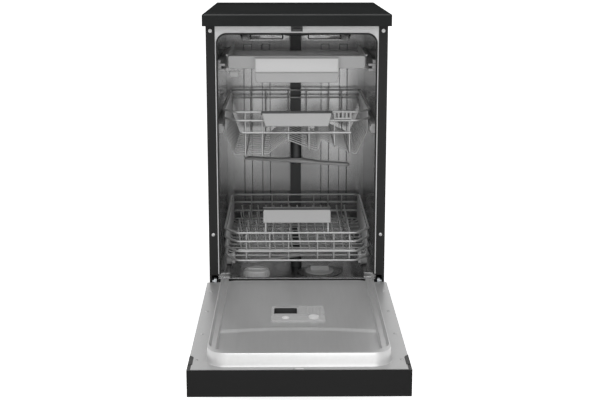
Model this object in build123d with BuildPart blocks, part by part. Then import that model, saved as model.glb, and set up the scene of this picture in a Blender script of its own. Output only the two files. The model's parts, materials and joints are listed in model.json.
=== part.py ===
from build123d import *
import os
from math import radians, sin, tan

os.makedirs("parts", exist_ok=True)

# Slimline dishwasher with its door folded down, in millimetres.
# X runs to the right, the door faces -Y and Z is up.
# The origin is on the floor, midway along the open machine.

# Sheet metal and fits
SHEET = 1.2
SLIDE_GAP = 0.3
PIN_CLEARANCE = 0.05
SCREW_RADIUS = 2.0
SCREW_HEAD_RADIUS = 4.2
SCREW_HEAD_HEIGHT = 1.4

# Tub, which the rest of the machine is built around
TUB_WIDTH = 394.0
TUB_DEPTH = 505.0
TUB_CORNER = 28.0
TUB_HALF = TUB_WIDTH / 2

# Widths around the tub
FLANGE_WIDTH = 22.0
TOP_OVERHANG = 5.0
BODY_HALF = TUB_HALF + FLANGE_WIDTH
INNER_HALF = BODY_HALF - SHEET
WIDE_HALF = BODY_HALF + TOP_OVERHANG

# Heights, stacked from the floor up
BASE_Z = 22.0
PIVOT_Z = 180.0
TRACK_RISE = 17.5
FLOOR_DROP = 47.5
LOWER_LOAD_HEIGHT = 238.5
ARM_TO_RACK = 50.0
UPPER_RACK_HEIGHT = 118.0
TRAY_RISE = 108.0
TRAY_HEADROOM = 88.0
CEILING_SPACE = 17.0
WORKTOP_THICKNESS = 28.0
LEDGE_Z = PIVOT_Z + TRACK_RISE
FLOOR_Z = LEDGE_Z - FLOOR_DROP
UPPER_ARM_Z = LEDGE_Z + LOWER_LOAD_HEIGHT
UPPER_FLOOR = UPPER_ARM_Z + ARM_TO_RACK
UPPER_TOP = UPPER_FLOOR + UPPER_RACK_HEIGHT
TRAY_Z = UPPER_TOP + TRAY_RISE
TUB_TOP = TRAY_Z + TRAY_HEADROOM
CABINET_TOP = TUB_TOP + CEILING_SPACE
HEIGHT = CABINET_TOP + WORKTOP_THICKNESS
WORKTOP_CORNER = 4.0
WORKTOP_EDGE = 3.0

# Depths: the machine is centred on Y with its door open
PIVOT_AHEAD = 3.0
DOOR_TOP_GAP = 6.0
REAR_SPACE = 32.0
WORKTOP_FRONT = 52.0
WORKTOP_REAR = 8.0
DOOR_LENGTH = CABINET_TOP - DOOR_TOP_GAP - PIVOT_Z
FRONT = (PIVOT_AHEAD + DOOR_LENGTH - TUB_DEPTH - REAR_SPACE - WORKTOP_REAR) / 2
PIVOT_Y = FRONT - PIVOT_AHEAD
TUB_BACK = FRONT + TUB_DEPTH
BACK = TUB_BACK + REAR_SPACE

# Cabinet details
REAR_FLANGE = 14.0
FLANGE_SCREW_RISE = 102.0
BASE_SHEET = 3.0
BASE_WALL_TOP = 70.0
PLINTH_SETBACK = 6.0
PLINTH_THICKNESS = 2.5
PLINTH_RISE = 2.0
FOOT_RADIUS = 20.0
FOOT_PAD = 8.0
FOOT_STEM_RADIUS = 6.0
FOOT_INSET = 32.0

# Tub details
FLOOR_SHEET = 1.5
EMBOSS_INNER = 24.0
EMBOSS_OUTER = 138.0
EMBOSS_DEPTH = 2.6
EMBOSS_INSET = 60.0
RIB_WIDTH = 22.0
RIB_DEPTH = 3.0
RIB_PLACES = (-136.0, -84.0, 84.0, 136.0)
RIB_INSET = 70.0
LEDGE_WALL = 12.5
FLANGE_RISE = 8.0
FLOOR_INSET = 18.5
SILL_SETBACK = 14.0
SILL_RISE = 6.0

# Door, measured along it from the pivot and across it from the pivot plane
DOOR_THICKNESS = 57.0
DOOR_START = 12.0
DOOR_FLANGE = 1.0
DOOR_OUTER = DOOR_FLANGE - DOOR_THICKNESS
LINER_UNDER = DOOR_FLANGE - SHEET
LINER_EDGE = 4.0
LINER_HALF = WIDE_HALF - LINER_EDGE
FASCIA_LENGTH = 103.0
FASCIA_WALL = 2.5
FASCIA_SIDE = 7.0
FASCIA_START = DOOR_LENGTH - FASCIA_LENGTH
LINER_END = DOOR_LENGTH - FASCIA_WALL - LINER_EDGE / 2
RIM_HEIGHT = 28.0
RIM_TAPER = 8.0
RIM_START = 18.0
RIM_MARGIN = 19.0
RIM_CORNER = 44.0
RIM_END = DOOR_LENGTH - RIM_MARGIN
EAR_OVERLAP = 14.0
TRACK_MARGIN = 20.0
RECESS_MARGIN = 27.0
RECESS_CORNER = 30.0
LINER_SCREWS = (90.0, 250.0, 410.0, 570.0)
FASCIA_ROUND = 4.0

# Wheels run on the tub's ledges and on the door's tracks
WHEEL_RADIUS = 14.5
WHEEL_FLANGE_RADIUS = 18.0
WHEEL_TREAD = 13.0
WHEEL_FLANGE = 2.5
AXLE_RADIUS = 2.95
WHEEL_SIDE_GAP = 0.8
HANGER_THICKNESS = 6.2
HANGER_MARGIN = 7.5
TRACK_OUTER_INSET = 13.0
TRACK_INNER_INSET = 28.5
TRACK_OUTER = TUB_HALF - TRACK_OUTER_INSET
TRACK_INNER = TUB_HALF - TRACK_INNER_INSET

# Gasket around the tub's mouth
GASKET_WIDTH = 6.3
GASKET_SEAT = 0.2
GASKET_PROUD = 1.5
GASKET_DEPTH = 12.0
RIM_CLEARANCE = 1.0
GASKET_HALF = TUB_HALF - GASKET_SEAT - GASKET_WIDTH
RIM_HALF = GASKET_HALF - RIM_CLEARANCE

# Rack wires
RAIL_WIRE = 5.0
BASKET_WIRE = 3.4
WELD_GAP = 0.15
NEST = (RAIL_WIRE + BASKET_WIRE) / 2 + WELD_GAP
BASKET_STEP = BASKET_WIRE + WELD_GAP
RACK_SIDE_GAP = 14.0
RACK_HALF = TUB_HALF - RACK_SIDE_GAP
RACK_CORNER_X = 35.0
RACK_CORNER_Y = 50.0
RACK_BEND = 18.0
BASKET_BEND = 8.0
BASKET_HALF = RACK_HALF - NEST

# Lower rack
LOWER_SETBACK = 16.0
LOWER_BACK_GAP = 27.0
LOWER_FLOOR_RISE = 28.5
LOWER_FRONT = FRONT + LOWER_SETBACK
LOWER_BACK = TUB_BACK - LOWER_BACK_GAP
LOWER_RAIL_RISES = (31.5, 55.5, 80.5, 102.5)
LOWER_FLOOR = LEDGE_Z + LOWER_FLOOR_RISE
LOWER_TOP = LEDGE_Z + LOWER_RAIL_RISES[-1]
LOWER_PITCH = 38.0
LONG_WIRES = (-127.0, -68.0, -21.0, 52.0, 93.0, 132.0)
TINE_WIRE = 4.0
TINE_LENGTH = 56.0
TINE_PITCH = 22.0
TINE_LEAN = 8.0
TINE_INSET = 28.0
FIXED_TINES = (90.0, 270.0, 355.0)
FOLDING_TINES = 175.0
LOWER_HANDLE_WIDTH = 168.0
LOWER_HANDLE_HEIGHT = 38.0
LOWER_HANDLE_RISE = 27.0
HANDLE_FRONT_GAP = 7.0
WIRE_CLEARANCE = 0.2
HANDLE_WIRE_INSET = 6.0

# Upper rack
UPPER_SETBACK = 20.0
UPPER_BACK_GAP = 37.0
UPPER_SECOND_DROP = 21.0
UPPER_FRONT_DROP = 51.0
UPPER_SHOULDER_RISE = 60.0
UPPER_FRONT = FRONT + UPPER_SETBACK
UPPER_BACK = TUB_BACK - UPPER_BACK_GAP
UPPER_SECOND_RAIL = UPPER_TOP - UPPER_SECOND_DROP
UPPER_FRONT_RAIL = UPPER_TOP - UPPER_FRONT_DROP
UPPER_FRONT_RAIL_HALF = 134.0
UPPER_PITCH = 34.0
UPPER_SHOULDER = UPPER_FLOOR + UPPER_SHOULDER_RISE
UPPER_LONG_WIRES = (-127.0, -85.0, -21.0, 30.0, 93.0, 130.0)
ZIGZAG = ((-158.0, 0.0), (-72.0, 2.0), (-27.0, 39.0), (52.0, 9.0), (62.0, 41.0), (150.0, 0.0))
ZIGZAG_BEND = 5.0
UPPER_HANDLE_WIDTH = 174.0
UPPER_HANDLE_TAPER = 10.0
UPPER_HANDLE_HEIGHT = 37.0
HANDLE_DEPTH = 13.0
HANDLE_ROUND = 2.5
RUNNER_DROP = 43.0
RUNNER_Z = UPPER_TOP - RUNNER_DROP
RUNNER_HEIGHT = 11.4
RUNNER_LENGTH = 422.0
RAIL_SETBACK = 34.0
RAIL_BACK_GAP = 13.0
RAIL_START = FRONT + RAIL_SETBACK
RAIL_END = TUB_BACK - RAIL_BACK_GAP
RAIL_WALL = 5.0
UPPER_RAIL_DEPTH = 13.0
SEAL_CLEARANCE = 0.8

# Cutlery tray
TRAY_WIRE = 6.0
TRAY_SIDE_GAP = 16.0
TRAY_SETBACK = 50.0
TRAY_BACK_GAP = 27.0
TRAY_HALF = TUB_HALF - TRAY_SIDE_GAP
TRAY_FRONT = FRONT + TRAY_SETBACK
TRAY_BACK = TUB_BACK - TRAY_BACK_GAP
TRAY_PITCH = 24.0
TRAY_WALL = 26.0
TRAY_BAR_HALF = 167.5
TRAY_BAR_HEIGHT = 31.0
TRAY_BAR_DEPTH = 12.0
TRAY_HANDLE_HALF = 103.0
TRAY_HANDLE_DEPTH = 10.0
TRAY_LIP_DEPTH = 14.0
TRAY_LIP_DROP = 24.0
TRAY_LIP_TAPER = 5.0
TRAY_LIP_CORNER = 10.0
TRAY_FACE_DROP = 9.0
TRAY_BEND = 20.0
TRAY_BAR_CORNER = 4.0
TRAY_ROUND = 2.0

# Spray arms and their water feed
ARM_Y = FRONT + TUB_DEPTH / 2
ARM_RADIUS = 148.0
ARM_WIDTH = 34.0
ARM_THICKNESS = 12.0
ARM_ROUND = 3.0
LOWER_ARM_TURN = 28.0
UPPER_ARM_TURN = -20.0
NOZZLE_RADIUS = 2.0
NOZZLE_PITCH = 24.0
LOWER_ARM_RISE = 26.0
LOWER_ARM_Z = FLOOR_Z + LOWER_ARM_RISE
PILLAR_RADIUS = 14.0
SPIGOT_RADIUS = 10.0
SPIGOT_TIP = 4.0
UPPER_SPIGOT_RADIUS = 8.0
COLUMN_RADIUS = 14.0
COLLAR_RADIUS = 13.0
COLLAR_HEIGHT = 3.0
CLIP_THICKNESS = 4.0
FEED_TUBE_RADIUS = 10.0
FEED_WIDTH = 30.0
FEED_DEPTH = 20.0
FEED_WALL = 2.5
CEILING_FEED = 14.0
DOCK_RISE = 30.0
DOCK_Z = UPPER_ARM_Z + DOCK_RISE
DOCK_RADIUS = 12.0
DOCK_LENGTH = 14.0
CEILING_HEAD_RADIUS = 38.0
CEILING_HEAD_HEIGHT = 11.0
CEILING_HEAD_ROUND = 4.0
CEILING_NOZZLE_RING = 23.0
CEILING_NOZZLES = 8
CEILING_NOZZLE_DEPTH = 4.0

# Filter and water softener, placed from the spray arm's pillar
FILTER_X = 62.0
FILTER_AHEAD = 62.0
FILTER_Y = ARM_Y - FILTER_AHEAD
FILTER_RADIUS = 30.0
FILTER_PLATE_RADIUS = 58.0
FILTER_HOLE_RADIUS = 52.0
FILTER_DEPTH = 44.0
FILTER_FLANGE = 3.0
FILTER_FLANGE_RADIUS = 38.0
FILTER_GRIP = 12.0
FILTER_GRIP_WIDTH = 48.0
FILTER_GRIP_THICKNESS = 8.0
PLATE_THICKNESS = 1.5
SUMP_DEPTH = 56.0
SUMP_MARGIN = 12.0
SUMP_WALL = 3.0
SUMP_CORNER = 18.0
SALT_X = -105.0
SALT_AHEAD = 105.0
SALT_Y = ARM_Y - SALT_AHEAD
SALT_NECK_RADIUS = 26.0
SALT_CAP_RADIUS = 33.0
SALT_NECK_RISE = 12.0
SALT_NECK_WALL = 4.0
SALT_MOUTH_DEPTH = 55.0
SALT_CAP_ABOVE = 8.0
SALT_CAP_ROUND = 3.0
SALT_GRIP_HEIGHT = 3.0
SALT_GRIP_WIDTH = 44.0
SALT_GRIP_THICKNESS = 6.0
SALT_TANK_SHIFT = 9.0
SALT_TANK_WIDTH = 102.0
SALT_TANK_LENGTH = 110.0
SALT_TANK_HEIGHT = 68.0
SALT_TANK_CORNER = 10.0

# Pumps under the tub
PUMP_BEHIND = 118.0
PUMP_Z = 78.0
MOTOR_LENGTH = 106.0
MOTOR_RADIUS = 38.0
MOTOR_CAP = 12.0
MOTOR_CAP_RADIUS = 24.0
VOLUTE_LENGTH = 34.0
VOLUTE_RADIUS = 46.0
PUMP_FOOT_LENGTH = 70.0
PUMP_FOOT_DEPTH = 48.0
PUMP_OUTLET_RADIUS = 15.0
DRAIN_BODY_INSET = 50.0
DRAIN_BODY_LENGTH = 80.0
DRAIN_BODY_RADIUS = 26.0
DRAIN_FOOT_WIDTH = 40.0
DRAIN_FOOT_LENGTH = 60.0

# Rear connections, on a wall that stands in from the back
CONNECTION_SETBACK = 60.0
CONNECTION_Y = BACK - CONNECTION_SETBACK
CONNECTION_TOP = 140.0
COLLAR_THICKNESS = 3.0
COLLAR_MARGIN = 5.0
INLET_INSET = 47.0
INLET_X = INLET_INSET - TUB_HALF
INLET_Z = 90.0
INLET_RADIUS = 13.2
INLET_REACH = 34.0
INLET_WALL = 4.0
VALVE_WIDTH = 48.0
VALVE_DEPTH = 46.0
VALVE_HEIGHT = 40.0
COIL_RADIUS = 14.0
COIL_HEIGHT = 18.0
DRAIN_INSET = 67.0
DRAIN_X = TUB_HALF - DRAIN_INSET
DRAIN_Z = 62.0
DRAIN_RADIUS = 10.0
DRAIN_WALL = 2.5
DRAIN_TIP_INSET = 12.0
GLAND_Z = 90.0
GLAND_RADIUS = 9.0
GLAND_INSIDE = 10.0
GLAND_REACH = 18.0
GLAND_COLLAR = 4.0
GLAND_COLLAR_RADIUS = 15.0
GLAND_BORE_RADIUS = 4.5

# Detergent dispenser on the door
DISPENSER_HALF = 61.0
DISPENSER_START = 252.0
DISPENSER_LENGTH = 95.0
DISPENSER_FRAME = 4.0
DISPENSER_DEPTH = 30.0
DISPENSER_LIP = 3.0
DISPENSER_CORNER = 6.0
CUP_MARGIN = 7.0
CUP_WIDTH = 52.0
CUP_LENGTH = 52.0
CUP_DEPTH = 26.0
LID_THICKNESS = 3.0
LID_OVERLAP = 2.0
LID_TRAVEL = 58.0
LID_RIBS = 3
LID_RIB_PITCH = 8.0
LID_RIB_WIDTH = 2.5
LID_RIB_HEIGHT = 1.2
GUIDE_WIDTH = 3.0
GUIDE_HEIGHT = 4.0
RINSE_RADIUS = 12.0
RINSE_INSET = 26.0
RINSE_MARGIN = 4.0
RINSE_NECK_DEPTH = 10.0
RINSE_NECK_RADIUS = 8.0
RINSE_STEM = 8.0
RINSE_CAP_HEIGHT = 4.0
RINSE_SLOT_WIDTH = 3.0
RECESS_HIGH = 8.0
RECESS_LOW = 3.0
RECESS_STEP = 396.0
RECESS_ARCH = 18.0

# Controls and grip on the fascia's outer face
CONTROL_ROW = 30.0
POWER_INSET = 59.0
PROGRAM_INSET = 114.0
START_INSET = 59.0
POWER_X = POWER_INSET - WIDE_HALF
PROGRAM_X = WIDE_HALF - PROGRAM_INSET
START_X = WIDE_HALF - START_INSET
BUTTON_RADIUS = 7.7
BUTTON_PROUD = 2.0
BUTTON_COLLAR = 2.0
BUTTON_ROUND = 0.8
GRIP_HALF = 80.0
GRIP_LENGTH = 37.0
GRIP_DEPTH = 22.0
GRIP_FROM_TOP = 9.0
DISPLAY_HALF = 38.0
DISPLAY_LENGTH = 25.0
DISPLAY_DEPTH = 1.2

# Hinges
HINGE_PIN_RADIUS = 4.0
HINGE_EYE_RADIUS = 9.0
HINGE_PLATE = 3.0
HINGE_OUTSET = 4.0
HINGE_X = TUB_HALF + HINGE_OUTSET
HINGE_ARM_LENGTH = 150.0
HINGE_NOTCH = 15.0
HINGE_ROOM = 16.0
HINGE_PIN_LENGTH = 8.0
ARM_BAR = 14.0
BRACKET_DEPTH = 50.0
BRACKET_DROP = 70.0

# Latch at the top centre
STRIKE_HALF = 9.0
STRIKE_THICKNESS = 5.0
STRIKE_REACH = 17.0
STRIKE_RISE = 3.0
LATCH_HALF = 22.0
LATCH_SETBACK = 6.0
LATCH_LENGTH = 24.0
LATCH_DEPTH = 24.0
LATCH_ROUND = 3.0
LATCH_HOLE_MARGIN = 3.5
STRIKE_PLATE_HALF = 14.0

DOOR = Plane(origin=(0, PIVOT_Y, PIVOT_Z), x_dir=(-1, 0, 0), z_dir=(0, 0, 1))


def both(half):
    """The span from one side of the centre plane to the other."""
    return (-half, half)


def beside(sign, inner, outer):
    """The span between two distances from the centre plane, on one side of it."""
    return (inner, outer) if sign > 0 else (-outer, -inner)


def around(middle, size):
    """The span of a size centred on a place."""
    return (middle - size / 2, middle + size / 2)


def facing(y):
    """The upright plane at a depth, seen from the front."""
    return Plane.XZ.offset(-y)


def block(x, y, z, mode=Mode.ADD):
    """A box between two limits on each axis."""
    with Locations(((x[0] + x[1]) / 2, (y[0] + y[1]) / 2, (z[0] + z[1]) / 2)):
        Box(x[1] - x[0], y[1] - y[0], z[1] - z[0], mode=mode)


def door_block(x, along, across, mode=Mode.ADD):
    """A box on the open door, by distances from its pivot."""
    y = (PIVOT_Y - along[1], PIVOT_Y - along[0])
    z = (PIVOT_Z + across[0], PIVOT_Z + across[1])
    block(x, y, z, mode)


def post(x, y, z, radius, mode=Mode.ADD):
    """An upright cylinder between two heights."""
    with Locations((x, y, z[0])):
        Cylinder(radius, z[1] - z[0], align=(Align.CENTER, Align.CENTER, Align.MIN), mode=mode)


def rod_along_y(x, y, z, radius, mode=Mode.ADD):
    """A cylinder that runs front to back."""
    with Locations(Location((x, y[0], z), (-90, 0, 0))):
        Cylinder(radius, y[1] - y[0], align=(Align.CENTER, Align.CENTER, Align.MIN), mode=mode)


def rod_along_x(x, y, z, radius, mode=Mode.ADD):
    """A cylinder that runs left to right."""
    with Locations(Location((x[0], y, z), (0, 90, 0))):
        Cylinder(radius, x[1] - x[0], align=(Align.CENTER, Align.CENTER, Align.MIN), mode=mode)


def arch(half, bottom, top, corner, mode=Mode.ADD):
    """An outline that is square at the bottom and rounded at its two top corners."""
    with BuildLine() as outline:
        FilletPolyline((-half, bottom), (-half, top), (half, top), (half, bottom), radius=corner)
        Line((half, bottom), (-half, bottom))
    make_face(outline.edges(), mode=mode)


def wire(points, diameter, bend, closed=False):
    """A round wire bent along the points."""
    with BuildPart() as bent:
        with BuildLine() as path:
            FilletPolyline(*points, radius=bend, close=closed)
        with BuildSketch(Plane(origin=path.line @ 0, z_dir=path.line % 0)):
            Circle(diameter / 2)
        sweep()
    return bent.part


def rod(start, end, diameter):
    """A straight round wire between two points."""
    with BuildPart() as straight:
        with BuildSketch(Plane(origin=start, z_dir=Vector(*end) - Vector(*start))):
            Circle(diameter / 2)
        extrude(amount=(Vector(*end) - Vector(*start)).length)
    return straight.part


def spaced(start, end, pitch):
    """Places at a pitch between two limits, centred in the room that is left."""
    count = int((end - start) // pitch) + 1
    first = (start + end - (count - 1) * pitch) / 2
    return [first + i * pitch for i in range(count)]


def rail_loop(front, back, z):
    """A rack's rail all the way round, with its front corners set back."""
    inner = RACK_HALF - RACK_CORNER_X
    side = front + RACK_CORNER_Y
    points = [
        (RACK_HALF, back, z),
        (RACK_HALF, side, z),
        (inner, front, z),
        (-inner, front, z),
        (-RACK_HALF, side, z),
        (-RACK_HALF, back, z),
    ]
    return wire(points, RAIL_WIRE, RACK_BEND, closed=True)


def zigzag_height(x):
    """The height of the upper rack's zigzag floor, and its slope, at a place across it."""
    for (x0, z0), (x1, z1) in zip(ZIGZAG, ZIGZAG[1:]):
        if x0 <= x <= x1:
            slope = (z1 - z0) / (x1 - x0)
            return UPPER_FLOOR + z0 + slope * (x - x0), slope


# Cabinet
with BuildPart() as worktop:
    block(both(WIDE_HALF), (FRONT - WORKTOP_FRONT, BACK + WORKTOP_REAR), (CABINET_TOP, HEIGHT))
    fillet(worktop.edges().filter_by(Axis.Z), WORKTOP_CORNER)
    fillet(worktop.faces().sort_by(Axis.Z)[-1].edges(), WORKTOP_EDGE)
worktop.part.label = "worktop"
export_step(worktop.part, "parts/worktop.step")

SCREW_X = BODY_HALF - FLANGE_WIDTH / 2
SCREW_HEIGHTS = (TUB_TOP + STRIKE_RISE, LEDGE_Z + FLANGE_SCREW_RISE)
for side, sign in (("left", -1), ("right", 1)):
    with BuildPart() as side_panel:
        block(beside(sign, INNER_HALF, BODY_HALF), (FRONT, BACK), (BASE_Z, CABINET_TOP))
        block(beside(sign, TUB_HALF, INNER_HALF), (FRONT, FRONT + SHEET), (BASE_Z, CABINET_TOP))
        block(beside(sign, BODY_HALF - REAR_FLANGE, INNER_HALF), (BACK - SHEET, BACK), (BASE_Z, CABINET_TOP))
        block(
            beside(sign, TUB_HALF, TUB_HALF + HINGE_ROOM),
            (FRONT, FRONT + SHEET),
            (PIVOT_Z - HINGE_NOTCH, PIVOT_Z + HINGE_NOTCH),
            mode=Mode.SUBTRACT,
        )
        for z in SCREW_HEIGHTS:
            hole = SCREW_RADIUS + PIN_CLEARANCE
            rod_along_y(sign * SCREW_X, (FRONT, FRONT + SHEET), z, hole, mode=Mode.SUBTRACT)
    side_panel.part.label = f"side_panel_{side}"
    export_step(side_panel.part, f"parts/side_panel_{side}.step")

with BuildPart() as rear_panel:
    block(both(INNER_HALF), (BACK - 2 * SHEET, BACK - SHEET), (CONNECTION_TOP, CABINET_TOP))
rear_panel.part.label = "rear_panel"
export_step(rear_panel.part, "parts/rear_panel.step")

BASE_TOP = BASE_Z + BASE_SHEET
BASE_FRONT = FRONT + PLINTH_SETBACK + PLINTH_THICKNESS
with BuildPart() as base_tray:
    block(both(INNER_HALF), (BASE_FRONT, BACK - SHEET), (BASE_Z, BASE_TOP))
    block(both(INNER_HALF), (BASE_FRONT, BASE_FRONT + BASE_SHEET), (BASE_TOP, BASE_WALL_TOP))
    block(both(INNER_HALF), (CONNECTION_Y - BASE_SHEET, CONNECTION_Y), (BASE_TOP, CONNECTION_TOP))
    for sign in (-1, 1):
        wall = beside(sign, INNER_HALF - BASE_SHEET, INNER_HALF)
        block(wall, (BASE_FRONT, CONNECTION_Y), (BASE_TOP, BASE_WALL_TOP))
    through = (CONNECTION_Y - BASE_SHEET, CONNECTION_Y)
    rod_along_y(INLET_X, through, INLET_Z, INLET_RADIUS + SLIDE_GAP, mode=Mode.SUBTRACT)
    rod_along_y(DRAIN_X, through, DRAIN_Z, DRAIN_RADIUS + SLIDE_GAP, mode=Mode.SUBTRACT)
    rod_along_y(0, through, GLAND_Z, GLAND_RADIUS + SLIDE_GAP, mode=Mode.SUBTRACT)
base_tray.part.label = "base_tray"
export_step(base_tray.part, "parts/base_tray.step")

with BuildPart() as levelling_feet:
    for x in (-BODY_HALF + FOOT_INSET, BODY_HALF - FOOT_INSET):
        for y in (FRONT + FOOT_INSET, BACK - FOOT_INSET):
            post(x, y, (0, FOOT_PAD), FOOT_RADIUS)
            post(x, y, (FOOT_PAD, BASE_Z), FOOT_STEM_RADIUS)
levelling_feet.part.label = "levelling_feet"
export_step(levelling_feet.part, "parts/levelling_feet.step")

PLINTH_TOP = PIVOT_Z + PLINTH_RISE
with BuildPart() as plinth:
    block(both(TUB_HALF - SLIDE_GAP), (FRONT + PLINTH_SETBACK, BASE_FRONT), (BASE_Z, PLINTH_TOP))
plinth.part.label = "plinth"
export_step(plinth.part, "parts/plinth.step")

# Tub
WRAP_BOTTOM = FLOOR_Z
FLANGE_BOTTOM = LEDGE_Z + FLANGE_RISE
with BuildPart() as tub_wrap:
    with BuildSketch(facing(TUB_BACK)):
        arch(TUB_HALF + SHEET, WRAP_BOTTOM, TUB_TOP + SHEET, TUB_CORNER + SHEET)
        arch(TUB_HALF, WRAP_BOTTOM, TUB_TOP, TUB_CORNER, mode=Mode.SUBTRACT)
    extrude(amount=TUB_DEPTH - SHEET)
    with BuildSketch(facing(FRONT + 2 * SHEET)):
        with Locations((0, (FLANGE_BOTTOM + CABINET_TOP) / 2)):
            Rectangle(2 * (INNER_HALF - SHEET), CABINET_TOP - FLANGE_BOTTOM)
        arch(TUB_HALF, FLANGE_BOTTOM, TUB_TOP, TUB_CORNER, mode=Mode.SUBTRACT)
    extrude(amount=SHEET)
    for sign in (-1, 1):
        block(
            beside(sign, EMBOSS_INNER, EMBOSS_OUTER),
            (FRONT + EMBOSS_INSET, TUB_BACK - EMBOSS_INSET),
            (TUB_TOP - EMBOSS_DEPTH, TUB_TOP),
        )
        for z in SCREW_HEIGHTS:
            hole = SCREW_RADIUS + PIN_CLEARANCE
            rod_along_y(sign * SCREW_X, (FRONT + SHEET, FRONT + 2 * SHEET), z, hole, mode=Mode.SUBTRACT)
tub_wrap.part.label = "tub_wrap"
export_step(tub_wrap.part, "parts/tub_wrap.step")

with BuildPart() as tub_rear:
    with BuildSketch(facing(TUB_BACK + SHEET)):
        arch(TUB_HALF + SHEET, WRAP_BOTTOM, TUB_TOP + SHEET, TUB_CORNER + SHEET)
    extrude(amount=SHEET)
    for x in RIB_PLACES:
        block(
            (x - RIB_WIDTH / 2, x + RIB_WIDTH / 2),
            (TUB_BACK - RIB_DEPTH, TUB_BACK),
            (LEDGE_Z + RIB_INSET, TUB_TOP - RIB_INSET),
        )
tub_rear.part.label = "tub_rear"
export_step(tub_rear.part, "parts/tub_rear.step")

FLOOR_HALF = TRACK_INNER - FLOOR_INSET
SILL_Y = FRONT + SILL_SETBACK
SILL_TOP = PIVOT_Z + SILL_RISE


def floor_outline(drop):
    """The tub floor's section: two wheel ledges, sloped sides and a flat middle."""
    edge = TRACK_INNER + drop
    right = [
        (FLOOR_HALF + drop, FLOOR_Z - drop),
        (edge, LEDGE_Z - LEDGE_WALL - drop),
        (edge, LEDGE_Z - drop),
        (TUB_HALF, LEDGE_Z - drop),
        (TUB_HALF, FLOOR_Z - 2 * FLOOR_SHEET),
    ]
    left = [(-x, z) for x, z in reversed(right)]
    return left + right


with BuildPart() as tub_floor:
    with BuildSketch(facing(TUB_BACK)):
        with BuildLine():
            Polyline(*floor_outline(0.0), close=True)
        make_face()
        with BuildLine():
            Polyline(*floor_outline(FLOOR_SHEET), close=True)
        make_face(mode=Mode.SUBTRACT)
    extrude(amount=TUB_BACK - SILL_Y)
    sill = (SILL_Y - FLOOR_SHEET, SILL_Y)
    block(both(TRACK_INNER), sill, (FLOOR_Z - FLOOR_SHEET, SILL_TOP))
    for sign in (-1, 1):
        block(beside(sign, TRACK_INNER, TUB_HALF), sill, (FLOOR_Z - FLOOR_SHEET, LEDGE_Z))
    block(both(TUB_HALF), (FRONT + 2 * SHEET, SILL_Y), (SILL_TOP - FLOOR_SHEET, SILL_TOP))
    floor_span = (FLOOR_Z - FLOOR_SHEET, FLOOR_Z)
    post(FILTER_X, FILTER_Y, floor_span, FILTER_HOLE_RADIUS, mode=Mode.SUBTRACT)
    post(SALT_X, SALT_Y, floor_span, SALT_NECK_RADIUS + SLIDE_GAP, mode=Mode.SUBTRACT)
    post(0, ARM_Y, floor_span, PILLAR_RADIUS + SLIDE_GAP, mode=Mode.SUBTRACT)
tub_floor.part.label = "tub_floor"
export_step(tub_floor.part, "parts/tub_floor.step")

with BuildPart() as tub_gasket:
    with BuildSketch(facing(FRONT + GASKET_DEPTH)):
        gasket_top = TUB_TOP - GASKET_SEAT
        arch(TUB_HALF - GASKET_SEAT, LEDGE_Z, gasket_top, TUB_CORNER - GASKET_SEAT)
        inner_corner = TUB_CORNER - GASKET_WIDTH
        arch(GASKET_HALF, LEDGE_Z, gasket_top - GASKET_WIDTH, inner_corner, mode=Mode.SUBTRACT)
    extrude(amount=GASKET_DEPTH + GASKET_PROUD)
tub_gasket.part.label = "tub_gasket"
export_step(tub_gasket.part, "parts/tub_gasket.step")

with BuildPart() as flange_screws:
    for sign in (-1, 1):
        for z in SCREW_HEIGHTS:
            rod_along_y(sign * SCREW_X, (FRONT, FRONT + 4 * SHEET), z, SCREW_RADIUS)
            rod_along_y(sign * SCREW_X, (FRONT - SCREW_HEAD_HEIGHT, FRONT), z, SCREW_HEAD_RADIUS)
flange_screws.part.label = "flange_screws"
export_step(flange_screws.part, "parts/flange_screws.step")

STRIKE_Z = TUB_TOP + STRIKE_RISE
with BuildPart() as door_strike:
    tongue = (FRONT + SHEET - STRIKE_REACH, FRONT + SHEET)
    block(both(STRIKE_HALF), tongue, (STRIKE_Z, STRIKE_Z + STRIKE_THICKNESS))
    block(both(STRIKE_PLATE_HALF), (FRONT - SHEET / 2, FRONT + SHEET), (TUB_TOP + SHEET, CABINET_TOP))
door_strike.part.label = "door_strike"
export_step(door_strike.part, "parts/door_strike.step")

# Sump, filter, softener and pumps
FLOOR_UNDER = FLOOR_Z - FLOOR_SHEET
SUMP_X = (-PILLAR_RADIUS - SUMP_MARGIN, FILTER_X + FILTER_HOLE_RADIUS + SUMP_MARGIN)
SUMP_Y = (FILTER_Y - FILTER_HOLE_RADIUS - SUMP_MARGIN, ARM_Y + PILLAR_RADIUS + SUMP_MARGIN)
SUMP_Z = (FLOOR_UNDER - SUMP_DEPTH, FLOOR_UNDER)
with BuildPart() as sump:
    block(SUMP_X, SUMP_Y, SUMP_Z)
    fillet(sump.edges().filter_by(Axis.Z), SUMP_CORNER)
    offset(amount=-SUMP_WALL, openings=sump.faces().sort_by(Axis.Z)[-1])
    post(0, ARM_Y, (SUMP_Z[0], LOWER_ARM_Z), PILLAR_RADIUS)
    post(0, ARM_Y, (LOWER_ARM_Z, LOWER_ARM_Z + ARM_THICKNESS + SPIGOT_TIP), SPIGOT_RADIUS)
sump.part.label = "sump"
export_step(sump.part, "parts/sump.step")

with BuildPart() as filter_plate:
    post(FILTER_X, FILTER_Y, (FLOOR_Z, FLOOR_Z + PLATE_THICKNESS), FILTER_PLATE_RADIUS)
    hole = FILTER_RADIUS + PIN_CLEARANCE
    post(FILTER_X, FILTER_Y, (FLOOR_Z, FLOOR_Z + PLATE_THICKNESS), hole, mode=Mode.SUBTRACT)
filter_plate.part.label = "filter_plate"
export_step(filter_plate.part, "parts/filter_plate.step")

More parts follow.
